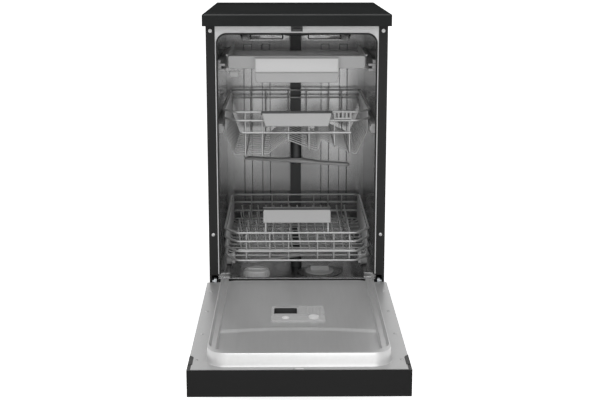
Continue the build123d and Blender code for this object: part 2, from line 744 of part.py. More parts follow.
with BuildPart() as coarse_filter:
    top = FLOOR_Z + PLATE_THICKNESS
    post(FILTER_X, FILTER_Y, (top - FILTER_DEPTH, top), FILTER_RADIUS)
    post(FILTER_X, FILTER_Y, (top - FILTER_DEPTH, top), FILTER_RADIUS - SUMP_WALL, mode=Mode.SUBTRACT)
    post(FILTER_X, FILTER_Y, (top, top + FILTER_FLANGE), FILTER_FLANGE_RADIUS)
    grip = (top + FILTER_FLANGE, top + FILTER_FLANGE + FILTER_GRIP)
    block(around(FILTER_X, FILTER_GRIP_WIDTH), around(FILTER_Y, FILTER_GRIP_THICKNESS), grip)
coarse_filter.part.label = "coarse_filter"
export_step(coarse_filter.part, "parts/coarse_filter.step")

SALT_NECK_TOP = FLOOR_Z + SALT_NECK_RISE
SALT_CAP_TOP = SALT_NECK_TOP + SALT_CAP_ABOVE
with BuildPart() as salt_tank:
    tank_x = around(SALT_X + SALT_TANK_SHIFT, SALT_TANK_WIDTH)
    block(tank_x, around(SALT_Y, SALT_TANK_LENGTH), (FLOOR_UNDER - SALT_TANK_HEIGHT, FLOOR_UNDER))
    fillet(salt_tank.edges().filter_by(Axis.Z), SALT_TANK_CORNER)
    post(SALT_X, SALT_Y, (FLOOR_UNDER, SALT_NECK_TOP), SALT_NECK_RADIUS)
    mouth = SALT_NECK_RADIUS - SALT_NECK_WALL
    post(SALT_X, SALT_Y, (FLOOR_UNDER - SALT_MOUTH_DEPTH, SALT_NECK_TOP), mouth, mode=Mode.SUBTRACT)
salt_tank.part.label = "salt_tank"
export_step(salt_tank.part, "parts/salt_tank.step")

with BuildPart() as salt_cap:
    post(SALT_X, SALT_Y, (FLOOR_Z + SLIDE_GAP, SALT_CAP_TOP), SALT_CAP_RADIUS)
    neck = SALT_NECK_RADIUS + PIN_CLEARANCE
    post(SALT_X, SALT_Y, (FLOOR_Z + SLIDE_GAP, SALT_NECK_TOP), neck, mode=Mode.SUBTRACT)
    fillet(salt_cap.faces().sort_by(Axis.Z)[-1].edges(), SALT_CAP_ROUND)
    grip = (SALT_CAP_TOP, SALT_CAP_TOP + SALT_GRIP_HEIGHT)
    block(around(SALT_X, SALT_GRIP_WIDTH), around(SALT_Y, SALT_GRIP_THICKNESS), grip)
salt_cap.part.label = "salt_cap"
export_step(salt_cap.part, "parts/salt_cap.step")

PUMP_Y = ARM_Y + PUMP_BEHIND
VOLUTE_X = (-VOLUTE_LENGTH, 0.0)
MOTOR_X = (VOLUTE_X[0] - MOTOR_LENGTH, VOLUTE_X[0])
with BuildPart() as circulation_pump:
    rod_along_x(MOTOR_X, PUMP_Y, PUMP_Z, MOTOR_RADIUS)
    rod_along_x(VOLUTE_X, PUMP_Y, PUMP_Z, VOLUTE_RADIUS)
    rod_along_x((MOTOR_X[0] - MOTOR_CAP, MOTOR_X[0]), PUMP_Y, PUMP_Z, MOTOR_CAP_RADIUS)
    block(around(sum(MOTOR_X) / 2, PUMP_FOOT_LENGTH), around(PUMP_Y, PUMP_FOOT_DEPTH), (BASE_TOP, PUMP_Z))
    post(sum(VOLUTE_X) / 2, PUMP_Y, (PUMP_Z, FLOOR_UNDER), PUMP_OUTLET_RADIUS)
circulation_pump.part.label = "circulation_pump"
export_step(circulation_pump.part, "parts/circulation_pump.step")

DRAIN_BODY_END = CONNECTION_Y - DRAIN_BODY_INSET
DRAIN_BODY_Y = (DRAIN_BODY_END - DRAIN_BODY_LENGTH, DRAIN_BODY_END)
DRAIN_SPOUT_Y = (DRAIN_BODY_END, BACK - DRAIN_TIP_INSET)
COLLAR_Y = (CONNECTION_Y, CONNECTION_Y + COLLAR_THICKNESS)
with BuildPart() as drain_pump:
    rod_along_y(DRAIN_X, DRAIN_BODY_Y, DRAIN_Z, DRAIN_BODY_RADIUS)
    foot_y = around(sum(DRAIN_BODY_Y) / 2, DRAIN_FOOT_LENGTH)
    block(around(DRAIN_X, DRAIN_FOOT_WIDTH), foot_y, (BASE_TOP, DRAIN_Z))
    rod_along_y(DRAIN_X, DRAIN_SPOUT_Y, DRAIN_Z, DRAIN_RADIUS)
    rod_along_y(DRAIN_X, COLLAR_Y, DRAIN_Z, DRAIN_RADIUS + COLLAR_MARGIN)
    rod_along_y(DRAIN_X, DRAIN_SPOUT_Y, DRAIN_Z, DRAIN_RADIUS - DRAIN_WALL, mode=Mode.SUBTRACT)
drain_pump.part.label = "drain_pump"
export_step(drain_pump.part, "parts/drain_pump.step")

VALVE_BACK = CONNECTION_Y - BASE_SHEET
VALVE_Y = (VALVE_BACK - VALVE_DEPTH, VALVE_BACK)
INLET_Y = (VALVE_BACK, CONNECTION_Y + INLET_REACH)
with BuildPart() as inlet_valve:
    valve_z = around(INLET_Z, VALVE_HEIGHT)
    block(around(INLET_X, VALVE_WIDTH), VALVE_Y, valve_z)
    rod_along_y(INLET_X, INLET_Y, INLET_Z, INLET_RADIUS)
    rod_along_y(INLET_X, COLLAR_Y, INLET_Z, INLET_RADIUS + COLLAR_MARGIN)
    rod_along_y(INLET_X, INLET_Y, INLET_Z, INLET_RADIUS - INLET_WALL, mode=Mode.SUBTRACT)
    post(INLET_X, sum(VALVE_Y) / 2, (valve_z[1], valve_z[1] + COIL_HEIGHT), COIL_RADIUS)
inlet_valve.part.label = "inlet_valve"
export_step(inlet_valve.part, "parts/inlet_valve.step")

GLAND_Y = (VALVE_BACK - GLAND_INSIDE, CONNECTION_Y + GLAND_REACH)
with BuildPart() as mains_gland:
    rod_along_y(0, GLAND_Y, GLAND_Z, GLAND_RADIUS)
    rod_along_y(0, (CONNECTION_Y, CONNECTION_Y + GLAND_COLLAR), GLAND_Z, GLAND_COLLAR_RADIUS)
    rod_along_y(0, GLAND_Y, GLAND_Z, GLAND_BORE_RADIUS, mode=Mode.SUBTRACT)
mains_gland.part.label = "mains_gland"
export_step(mains_gland.part, "parts/mains_gland.step")

# Spray arms and water feed
with BuildPart() as feed_pipe:
    block(both(FEED_WIDTH / 2), (TUB_BACK - FEED_DEPTH, TUB_BACK), (FLOOR_Z, TUB_TOP))
    block(both(FEED_WIDTH / 2), (ARM_Y - FEED_WIDTH, TUB_BACK), (TUB_TOP - CEILING_FEED, TUB_TOP))
    rod_along_y(0, (TUB_BACK - FEED_DEPTH - DOCK_LENGTH, TUB_BACK - FEED_DEPTH), DOCK_Z, DOCK_RADIUS)
    inside = both(FEED_WIDTH / 2 - FEED_WALL)
    duct = (TUB_BACK - FEED_DEPTH + FEED_WALL, TUB_BACK - FEED_WALL)
    block(inside, duct, (FLOOR_Z, TUB_TOP - FEED_WALL), mode=Mode.SUBTRACT)
    ceiling = (TUB_TOP - CEILING_FEED + FEED_WALL, TUB_TOP - FEED_WALL)
    block(inside, (ARM_Y - FEED_WIDTH + FEED_WALL, duct[1]), ceiling, mode=Mode.SUBTRACT)
feed_pipe.part.label = "feed_pipe"
export_step(feed_pipe.part, "parts/feed_pipe.step")

with BuildPart() as ceiling_spray:
    head = (TUB_TOP - CEILING_FEED - CEILING_HEAD_HEIGHT, TUB_TOP - CEILING_FEED)
    post(0, ARM_Y, head, CEILING_HEAD_RADIUS)
    fillet(ceiling_spray.faces().sort_by(Axis.Z)[0].edges(), CEILING_HEAD_ROUND)
    with Locations((0, ARM_Y, head[0])):
        with PolarLocations(CEILING_NOZZLE_RING, CEILING_NOZZLES):
            Cylinder(NOZZLE_RADIUS, CEILING_NOZZLE_DEPTH, mode=Mode.SUBTRACT)
ceiling_spray.part.label = "ceiling_spray"
export_step(ceiling_spray.part, "parts/ceiling_spray.step")

ARMS = (
    ("lower_spray_arm", LOWER_ARM_Z, SPIGOT_RADIUS, LOWER_ARM_TURN),
    ("upper_spray_arm", UPPER_ARM_Z, UPPER_SPIGOT_RADIUS, UPPER_ARM_TURN),
)
for name, z, spigot, turn in ARMS:
    arm_plane = Plane(origin=(0, ARM_Y, z)).rotated((0, 0, turn))
    with BuildPart() as spray_arm:
        with BuildSketch(arm_plane):
            SlotOverall(2 * ARM_RADIUS, ARM_WIDTH)
        extrude(amount=ARM_THICKNESS)
        fillet(spray_arm.faces().sort_by(Axis.Z)[-1].edges(), ARM_ROUND)
        with BuildSketch(arm_plane.offset(ARM_THICKNESS / 2)):
            for reach in spaced(2 * ARM_WIDTH, ARM_RADIUS - ARM_WIDTH / 2, NOZZLE_PITCH):
                with Locations((reach, 0), (-reach - NOZZLE_PITCH / 2, 0)):
                    Circle(NOZZLE_RADIUS)
        extrude(amount=ARM_THICKNESS, mode=Mode.SUBTRACT)
        post(0, ARM_Y, (z, z + ARM_THICKNESS), spigot + PIN_CLEARANCE, mode=Mode.SUBTRACT)
    spray_arm.part.label = name
    export_step(spray_arm.part, f"parts/{name}.step")

ARM_TOP = UPPER_ARM_Z + ARM_THICKNESS
FLOOR_OVER_FEED, FEED_SLOPE = zigzag_height(COLUMN_RADIUS)
CLIP_TOP = FLOOR_OVER_FEED - BASKET_WIRE / 2 * (1 + FEED_SLOPE**2) ** 0.5 - SLIDE_GAP
CLIP_LENGTH = UPPER_PITCH + 2 * BASKET_WIRE
with BuildPart() as upper_arm_feed:
    post(0, ARM_Y, (ARM_TOP + SLIDE_GAP, CLIP_TOP), COLUMN_RADIUS)
    post(0, ARM_Y, (UPPER_ARM_Z - SLIDE_GAP, ARM_TOP + SLIDE_GAP), UPPER_SPIGOT_RADIUS)
    collar = UPPER_ARM_Z - SLIDE_GAP
    post(0, ARM_Y, (collar - COLLAR_HEIGHT, collar), COLLAR_RADIUS)
    block(both(COLUMN_RADIUS), around(ARM_Y, CLIP_LENGTH), (CLIP_TOP - CLIP_THICKNESS, CLIP_TOP))
    rod_along_y(0, (ARM_Y, TUB_BACK - FEED_DEPTH - DOCK_LENGTH - SLIDE_GAP), DOCK_Z, FEED_TUBE_RADIUS)
upper_arm_feed.part.label = "upper_arm_feed"
export_step(upper_arm_feed.part, "parts/upper_arm_feed.step")

# Wall rails
RUNNER_OUTER = GASKET_HALF - SEAL_CLEARANCE
with BuildPart() as upper_rails:
    for sign in (-1, 1):
        half = RUNNER_HEIGHT / 2 + SLIDE_GAP
        outer = (RUNNER_Z - half - RAIL_WALL, RUNNER_Z + half + RAIL_WALL)
        block(beside(sign, TUB_HALF - UPPER_RAIL_DEPTH, TUB_HALF), (RAIL_START, RAIL_END), outer)
        groove = beside(sign, TUB_HALF - UPPER_RAIL_DEPTH, RUNNER_OUTER + SLIDE_GAP)
        groove_end = RAIL_END - RAIL_WALL
        block(groove, (RAIL_START, groove_end), (RUNNER_Z - half, RUNNER_Z + half), mode=Mode.SUBTRACT)
upper_rails.part.label = "upper_rails"
export_step(upper_rails.part, "parts/upper_rails.step")

with BuildPart() as tray_rails:
    for sign in (-1, 1):
        half = TRAY_WIRE / 2 + SLIDE_GAP
        outer = (TRAY_Z - half - RAIL_WALL, TRAY_Z + half + RAIL_WALL)
        block(beside(sign, TRAY_HALF - RAIL_WALL, TUB_HALF), (RAIL_START, RAIL_END), outer)
        groove = beside(sign, TRAY_HALF - RAIL_WALL, TRAY_HALF + half)
        groove_end = RAIL_END - RAIL_WALL
        block(groove, (RAIL_START, groove_end), (TRAY_Z - half, TRAY_Z + half), mode=Mode.SUBTRACT)
tray_rails.part.label = "tray_rails"
export_step(tray_rails.part, "parts/tray_rails.step")

# Door
EAR_START = RIM_END - EAR_OVERLAP
EAR_HALF = WIDE_HALF - FASCIA_SIDE
RIM_TOP = DOOR_FLANGE + RIM_HEIGHT
RIM_LEAN = RIM_HEIGHT * tan(radians(RIM_TAPER))
LIP_INNER = HINGE_X + HINGE_PLATE + DOOR_FLANGE
LINER_SCREW_X = LIP_INNER + 2 * SCREW_RADIUS


def sink_panels(grow):
    """Sink the two middle panels into the rim, grown by a sheet for the underside."""
    with BuildSketch(DOOR.offset(RECESS_HIGH - grow)) as panel:
        arch(TRACK_INNER + grow, 0, RIM_END - RECESS_MARGIN + grow, RECESS_CORNER)
    extrude(panel.sketch, amount=RIM_HEIGHT, mode=Mode.SUBTRACT)
    with BuildSketch(DOOR.offset(RECESS_LOW - grow)) as well:
        half = TRACK_INNER + grow
        end = RIM_END - RECESS_MARGIN + grow
        start = RECESS_STEP - grow
        with BuildLine() as outline:
            FilletPolyline((-half, start), (-half, end), (half, end), (half, start), radius=RECESS_CORNER)
            ThreePointArc((half, start), (0, start - RECESS_ARCH), (-half, start))
        make_face(outline.edges())
    extrude(well.sketch, amount=RIM_HEIGHT, mode=Mode.SUBTRACT)


RIM_MIDDLE = (RIM_START + RIM_END) / 2
with BuildPart() as under_liner:
    with BuildSketch(DOOR.offset(LINER_UNDER)):
        with Locations((0, RIM_MIDDLE)):
            RectangleRounded(2 * (RIM_HALF - SHEET), RIM_END - RIM_START - 2 * SHEET, RIM_CORNER - SHEET)
    extrude(amount=TRACK_RISE - SHEET - LINER_UNDER, taper=RIM_TAPER)
    sink_panels(SHEET)
    fold = (RIM_END - TRACK_MARGIN + SHEET, RIM_END - RIM_LEAN - SHEET)
    door_block(both(RIM_HALF - RIM_CORNER), fold, (LINER_UNDER, RIM_TOP - SHEET))

DISPENSER_END = DISPENSER_START + DISPENSER_LENGTH
DISPENSER_OPENING = DISPENSER_HALF - DISPENSER_LIP + SLIDE_GAP
with BuildPart() as door_liner:
    door_block(both(LINER_HALF), (DOOR_START, LINER_END), (LINER_UNDER, DOOR_FLANGE))
    with BuildSketch(DOOR.offset(LINER_UNDER)):
        with Locations((0, RIM_MIDDLE)):
            RectangleRounded(2 * RIM_HALF, RIM_END - RIM_START, RIM_CORNER)
    extrude(amount=RIM_TOP - LINER_UNDER, taper=RIM_TAPER)
    with BuildSketch(DOOR.offset(TRACK_RISE)) as tracks:
        arch(TRACK_OUTER, 0, RIM_END - TRACK_MARGIN, RIM_CORNER)
    extrude(tracks.sketch, amount=RIM_HEIGHT, mode=Mode.SUBTRACT)
    sink_panels(0.0)
    add(under_liner.part, mode=Mode.SUBTRACT)
    through = (LINER_UNDER, DOOR_FLANGE)
    sheet_span = (PIVOT_Z + LINER_UNDER, PIVOT_Z + DOOR_FLANGE)
    for sign in (-1, 1):
        ear = beside(sign, EAR_HALF - SLIDE_GAP, LINER_HALF)
        door_block(ear, (EAR_START - SLIDE_GAP, LINER_END), through, mode=Mode.SUBTRACT)
        for along in LINER_SCREWS:
            hole = SCREW_RADIUS + PIN_CLEARANCE
            post(sign * LINER_SCREW_X, PIVOT_Y - along, sheet_span, hole, mode=Mode.SUBTRACT)
    post(0, PIVOT_Y - LINER_END, sheet_span, STRIKE_HALF + LATCH_HOLE_MARGIN, mode=Mode.SUBTRACT)
    door_block(
        both(DISPENSER_OPENING),
        (DISPENSER_START + DISPENSER_LIP - SLIDE_GAP, DISPENSER_END - DISPENSER_LIP + SLIDE_GAP),
        (LINER_UNDER, RIM_TOP),
        mode=Mode.SUBTRACT,
    )
    # The sheet is kept as touching pieces along both sides of the dispenser's opening.
    for sign in (-1, 1):
        split(bisect_by=Plane.YZ.offset(sign * DISPENSER_OPENING), keep=Keep.BOTH)
door_liner.part.label = "door_liner"
export_step(door_liner.part, "parts/door_liner.step")

with BuildPart() as door_panel:
    outside = (DOOR_START, FASCIA_START - SLIDE_GAP)
    door_block(both(WIDE_HALF), outside, (DOOR_OUTER, LINER_UNDER))
    hollow = (DOOR_START + SHEET, FASCIA_START)
    door_block(both(WIDE_HALF - SHEET), hollow, (DOOR_OUTER + SHEET, LINER_UNDER - SHEET), mode=Mode.SUBTRACT)
    mouth = (-ARM_BAR - SHEET, LINER_UNDER)
    door_block(both(LIP_INNER), (DOOR_START, FASCIA_START), mouth, mode=Mode.SUBTRACT)
    for sign in (-1, 1):
        for along in LINER_SCREWS:
            hole = SCREW_RADIUS + PIN_CLEARANCE
            span = (PIVOT_Z + LINER_UNDER - SHEET, PIVOT_Z + LINER_UNDER)
            post(sign * LINER_SCREW_X, PIVOT_Y - along, span, hole, mode=Mode.SUBTRACT)
door_panel.part.label = "door_panel"
export_step(door_panel.part, "parts/door_panel.step")

CONTROL_S = FASCIA_START + CONTROL_ROW
BUTTONS = (("power_button", POWER_X), ("program_button", PROGRAM_X), ("start_button", START_X))
GRIP_END = DOOR_LENGTH - GRIP_FROM_TOP
GRIP = (GRIP_END - GRIP_LENGTH, GRIP_END)
GRIP_WALLS = (GRIP[0] - FASCIA_WALL, GRIP[1] + FASCIA_WALL)
DISPLAY = (CONTROL_S - DISPLAY_LENGTH / 2, CONTROL_S + DISPLAY_LENGTH / 2)
OUTER_Z = PIVOT_Z + DOOR_OUTER
with BuildPart() as control_fascia:
    door_block(both(WIDE_HALF), (FASCIA_START, DOOR_LENGTH), (DOOR_OUTER, DOOR_FLANGE))
    fillet(control_fascia.faces().sort_by(Axis.Y)[0].edges().sort_by(Axis.Z)[0], FASCIA_ROUND)
    cavity = (FASCIA_START, DOOR_LENGTH - FASCIA_WALL)
    door_block(both(EAR_HALF), cavity, (DOOR_OUTER + FASCIA_WALL, DOOR_FLANGE), mode=Mode.SUBTRACT)
    door_block(both(WIDE_HALF), (FASCIA_START, EAR_START), (LINER_UNDER, DOOR_FLANGE), mode=Mode.SUBTRACT)
    grip_floor = DOOR_OUTER + GRIP_DEPTH
    door_block(both(GRIP_HALF + FASCIA_WALL), GRIP_WALLS, (DOOR_OUTER, grip_floor + FASCIA_WALL))
    door_block(both(GRIP_HALF), GRIP, (DOOR_OUTER, grip_floor), mode=Mode.SUBTRACT)
    door_block(both(DISPLAY_HALF), DISPLAY, (DOOR_OUTER, DOOR_OUTER + DISPLAY_DEPTH), mode=Mode.SUBTRACT)
    for name, x in BUTTONS:
        hole = BUTTON_RADIUS + SLIDE_GAP
        post(x, PIVOT_Y - CONTROL_S, (OUTER_Z, OUTER_Z + FASCIA_WALL), hole, mode=Mode.SUBTRACT)
control_fascia.part.label = "control_fascia"
export_step(control_fascia.part, "parts/control_fascia.step")

with BuildPart() as display_window:
    pane = (DISPLAY[0] + SLIDE_GAP, DISPLAY[1] - SLIDE_GAP)
    door_block(both(DISPLAY_HALF - SLIDE_GAP), pane, (DOOR_OUTER, DOOR_OUTER + DISPLAY_DEPTH))
display_window.part.label = "display_window"
export_step(display_window.part, "parts/display_window.step")

for name, x in BUTTONS:
    with BuildPart() as button:
        inner = OUTER_Z + FASCIA_WALL
        post(x, PIVOT_Y - CONTROL_S, (OUTER_Z - BUTTON_PROUD, inner), BUTTON_RADIUS)
        fillet(button.faces().sort_by(Axis.Z)[0].edges(), BUTTON_ROUND)
        post(x, PIVOT_Y - CONTROL_S, (inner, inner + BUTTON_COLLAR), BUTTON_RADIUS + BUTTON_COLLAR)
    button.part.label = name
    export_step(button.part, f"parts/{name}.step")

with BuildPart() as hinge_arms:
    for sign in (-1, 1):
        plate = beside(sign, HINGE_X, HINGE_X + HINGE_PLATE)
        pin = beside(sign, HINGE_X + HINGE_PLATE, HINGE_X + HINGE_PLATE + HINGE_PIN_LENGTH)
        rod_along_x(plate, PIVOT_Y, PIVOT_Z, HINGE_EYE_RADIUS)
        door_block(plate, (0, HINGE_ARM_LENGTH), (-ARM_BAR, LINER_UNDER - SLIDE_GAP))
        rod_along_x(pin, PIVOT_Y, PIVOT_Z, HINGE_PIN_RADIUS)
hinge_arms.part.label = "hinge_arms"
export_step(hinge_arms.part, "parts/hinge_arms.step")

with BuildPart() as hinge_brackets:
    for sign in (-1, 1):
        inner = HINGE_X + HINGE_PLATE + SLIDE_GAP
        plate = beside(sign, inner, inner + HINGE_PLATE)
        behind = (FRONT + 4 * SHEET, FRONT + BRACKET_DEPTH)
        rod_along_x(plate, PIVOT_Y, PIVOT_Z, HINGE_EYE_RADIUS)
        block(plate, (PIVOT_Y, behind[0]), (PIVOT_Z - HINGE_EYE_RADIUS, PIVOT_Z + HINGE_EYE_RADIUS))
        block(plate, behind, (PIVOT_Z - BRACKET_DROP, PIVOT_Z + HINGE_EYE_RADIUS))
        foot = beside(sign, inner + HINGE_PLATE, INNER_HALF)
        block(foot, (FRONT + BRACKET_DEPTH / 2, behind[1]), (PIVOT_Z - BRACKET_DROP, PIVOT_Z))
        rod_along_x(plate, PIVOT_Y, PIVOT_Z, HINGE_PIN_RADIUS + PIN_CLEARANCE, mode=Mode.SUBTRACT)
hinge_brackets.part.label = "hinge_brackets"
export_step(hinge_brackets.part, "parts/hinge_brackets.step")

with BuildPart() as door_latch:
    latch_s = (LINER_END - LATCH_SETBACK - LATCH_LENGTH, LINER_END - LATCH_SETBACK)
    door_block(both(LATCH_HALF), latch_s, (LINER_UNDER - LATCH_DEPTH, LINER_UNDER))
    fillet(door_latch.edges().filter_by(Axis.Z), LATCH_ROUND)
door_latch.part.label = "door_latch"
export_step(door_latch.part, "parts/door_latch.step")

with BuildPart() as liner_screws:
    for sign in (-1, 1):
        for along in LINER_SCREWS:
            top = PIVOT_Z + DOOR_FLANGE
            post(sign * LINER_SCREW_X, PIVOT_Y - along, (top - 4 * SHEET, top), SCREW_RADIUS)
            post(sign * LINER_SCREW_X, PIVOT_Y - along, (top, top + SCREW_HEAD_HEIGHT), SCREW_HEAD_RADIUS)
liner_screws.part.label = "liner_screws"
export_step(liner_screws.part, "parts/liner_screws.step")

# Dispenser
FRAME_TOP = RECESS_HIGH + DISPENSER_FRAME
CUP_X = (CUP_MARGIN - DISPENSER_HALF, CUP_MARGIN - DISPENSER_HALF + CUP_WIDTH)
CUP_S = (DISPENSER_START + CUP_MARGIN, DISPENSER_START + CUP_MARGIN + CUP_LENGTH)
LID_S = (CUP_S[0] - LID_OVERLAP, CUP_S[1] + LID_OVERLAP)
RINSE_X = DISPENSER_HALF - RINSE_INSET
RINSE_S = DISPENSER_END - RINSE_RADIUS - RINSE_MARGIN
with BuildPart() as dispenser_body:
    door_block(both(DISPENSER_HALF), (DISPENSER_START, DISPENSER_END), (RECESS_HIGH, FRAME_TOP))
    fillet(dispenser_body.edges().filter_by(Axis.Z), DISPENSER_CORNER)
    tank = (DISPENSER_START + DISPENSER_LIP, DISPENSER_END - DISPENSER_LIP)
    door_block(both(DISPENSER_HALF - DISPENSER_LIP), tank, (FRAME_TOP - DISPENSER_DEPTH, RECESS_HIGH))
    door_block(CUP_X, CUP_S, (FRAME_TOP - CUP_DEPTH, FRAME_TOP), mode=Mode.SUBTRACT)
    guide_x = both(DISPENSER_HALF - DISPENSER_LIP)
    for guide in (LID_S[0] - SLIDE_GAP - GUIDE_WIDTH, LID_S[1] + SLIDE_GAP):
        door_block(guide_x, (guide, guide + GUIDE_WIDTH), (FRAME_TOP, FRAME_TOP + GUIDE_HEIGHT))
    neck = (PIVOT_Z + FRAME_TOP - RINSE_NECK_DEPTH, PIVOT_Z + FRAME_TOP)
    post(RINSE_X, PIVOT_Y - RINSE_S, neck, RINSE_NECK_RADIUS + PIN_CLEARANCE, mode=Mode.SUBTRACT)
dispenser_body.part.label = "dispenser_body"
export_step(dispenser_body.part, "parts/dispenser_body.step")

LID_X = (CUP_X[0] - LID_OVERLAP + LID_TRAVEL, CUP_X[1] + LID_OVERLAP + LID_TRAVEL)
with BuildPart() as dispenser_lid:
    under = FRAME_TOP + SLIDE_GAP / 2
    lid_top = under + LID_THICKNESS
    door_block(LID_X, LID_S, (under, lid_top))
    rib_s = (LID_S[0] + LID_RIB_PITCH, LID_S[1] - LID_RIB_PITCH)
    for i in range(LID_RIBS):
        rib = around(LID_X[0] + (i + 1) * LID_RIB_PITCH, LID_RIB_WIDTH)
        door_block(rib, rib_s, (lid_top, lid_top + LID_RIB_HEIGHT))
dispenser_lid.part.label = "dispenser_lid"
export_step(dispenser_lid.part, "parts/dispenser_lid.step")

with BuildPart() as rinse_cap:
    top = PIVOT_Z + FRAME_TOP
    post(RINSE_X, PIVOT_Y - RINSE_S, (top - RINSE_STEM, top), RINSE_NECK_RADIUS)
    post(RINSE_X, PIVOT_Y - RINSE_S, (top, top + RINSE_CAP_HEIGHT), RINSE_RADIUS)
    slot_x = around(RINSE_X, 2 * RINSE_NECK_RADIUS)
    slot_s = around(RINSE_S, RINSE_SLOT_WIDTH)
    slot_z = (FRAME_TOP + RINSE_CAP_HEIGHT / 2, FRAME_TOP + RINSE_CAP_HEIGHT)
    door_block(slot_x, slot_s, slot_z, mode=Mode.SUBTRACT)
rinse_cap.part.label = "rinse_cap"
export_step(rinse_cap.part, "parts/rinse_cap.step")

# Lower rack
LOWER_HANDLE_Z = (LOWER_TOP + LOWER_HANDLE_RISE, LOWER_TOP + LOWER_HANDLE_RISE + LOWER_HANDLE_HEIGHT)
HANDLE_WIRE_Z = sum(LOWER_HANDLE_Z) / 2
HANDLE_WIRE_X = LOWER_HANDLE_WIDTH / 2 - HANDLE_WIRE_INSET
rails = [rail_loop(LOWER_FRONT, LOWER_BACK, LEDGE_Z + rise) for rise in LOWER_RAIL_RISES]
foot = LOWER_TOP + RAIL_WIRE / 2 + WELD_GAP
bow = [
    (-HANDLE_WIRE_X, LOWER_FRONT, foot),
    (-HANDLE_WIRE_X, LOWER_FRONT, HANDLE_WIRE_Z),
    (HANDLE_WIRE_X, LOWER_FRONT, HANDLE_WIRE_Z),
    (HANDLE_WIRE_X, LOWER_FRONT, foot),
]
rails.append(wire(bow, RAIL_WIRE, BASKET_BEND))
with BuildPart() as lower_rack_rails:
    add(rails)
lower_rack_rails.part.label = "lower_rack_rails"
export_step(lower_rack_rails.part, "parts/lower_rack_rails.step")

LOWER_CROSS = spaced(LOWER_FRONT + RACK_CORNER_Y + RACK_BEND / 2, LOWER_BACK - RACK_BEND, LOWER_PITCH)
basket = []
for y in LOWER_CROSS:
    hoop = [
        (-BASKET_HALF, y, LOWER_TOP),
        (-BASKET_HALF, y, LOWER_FLOOR),
        (BASKET_HALF, y, LOWER_FLOOR),
        (BASKET_HALF, y, LOWER_TOP),
    ]
    basket.append(wire(hoop, BASKET_WIRE, BASKET_BEND))
for x in LONG_WIRES:
    hoop = [
        (x, LOWER_FRONT + NEST, LOWER_TOP),
        (x, LOWER_FRONT + NEST, LOWER_FLOOR + BASKET_STEP),
        (x, LOWER_BACK - NEST, LOWER_FLOOR + BASKET_STEP),
        (x, LOWER_BACK - NEST, LOWER_TOP),
    ]
    basket.append(wire(hoop, BASKET_WIRE, BASKET_BEND))
with BuildPart() as lower_rack_basket:
    add(basket)
lower_rack_basket.part.label = "lower_rack_basket"
export_step(lower_rack_basket.part, "parts/lower_rack_basket.step")

TINE_HALF = BASKET_HALF - TINE_INSET
TINE_BASE = LOWER_FLOOR + BASKET_STEP + (BASKET_WIRE + TINE_WIRE) / 2 + SLIDE_GAP
TINE_FOOT = TINE_BASE + TINE_WIRE / 2 + BASKET_WIRE / 2 * sin(radians(TINE_LEAN)) + WELD_GAP
TINE_TIP = Vector(0, 0, TINE_LENGTH).rotate(Axis.Y, -TINE_LEAN)


def tine_row(behind):
    """A base wire across the rack, at a distance behind its front, with a row of leaning tines on it."""
    y = LOWER_FRONT + behind
    pieces = [rod((-TINE_HALF, y, TINE_BASE), (TINE_HALF, y, TINE_BASE), TINE_WIRE)]
    for x in spaced(-TINE_HALF + TINE_WIRE, TINE_HALF - TINE_WIRE, TINE_PITCH):
        tip = (x + TINE_TIP.X, y, TINE_FOOT + TINE_TIP.Z)
        pieces.append(rod((x, y, TINE_FOOT), tip, BASKET_WIRE))
    return pieces


fixed_rows = [piece for behind in FIXED_TINES for piece in tine_row(behind)]
with BuildPart() as lower_rack_tines:
    add(fixed_rows)
lower_rack_tines.part.label = "lower_rack_tines"
export_step(lower_rack_tines.part, "parts/lower_rack_tines.step")

folding_row = tine_row(FOLDING_TINES)
with BuildPart() as folding_tines:
    add(folding_row)
folding_tines.part.label = "folding_tines"
export_step(folding_tines.part, "parts/folding_tines.step")

with BuildPart() as lower_rack_handle:
    handle_y = (LOWER_FRONT - HANDLE_FRONT_GAP, LOWER_FRONT - HANDLE_FRONT_GAP + HANDLE_DEPTH)
    block(both(LOWER_HANDLE_WIDTH / 2), handle_y, LOWER_HANDLE_Z)
    fillet(lower_rack_handle.faces().sort_by(Axis.Y)[0].edges(), HANDLE_ROUND)
    room = RAIL_WIRE / 2 + WIRE_CLEARANCE
    channel_y = (LOWER_FRONT - room, handle_y[1])
    channel_z = (HANDLE_WIRE_Z - room, HANDLE_WIRE_Z + room)
    block(both(HANDLE_WIRE_X + room), channel_y, channel_z, mode=Mode.SUBTRACT)
    for sign in (-1, 1):
        leg = beside(sign, HANDLE_WIRE_X - room, HANDLE_WIRE_X + room)
        block(leg, channel_y, (LOWER_HANDLE_Z[0], channel_z[1]), mode=Mode.SUBTRACT)
        bend = beside(sign, HANDLE_WIRE_X - BASKET_BEND, HANDLE_WIRE_X + room)
        block(bend, channel_y, (HANDLE_WIRE_Z - BASKET_BEND, channel_z[1]), mode=Mode.SUBTRACT)
lower_rack_handle.part.label = "lower_rack_handle"
export_step(lower_rack_handle.part, "parts/lower_rack_handle.step")

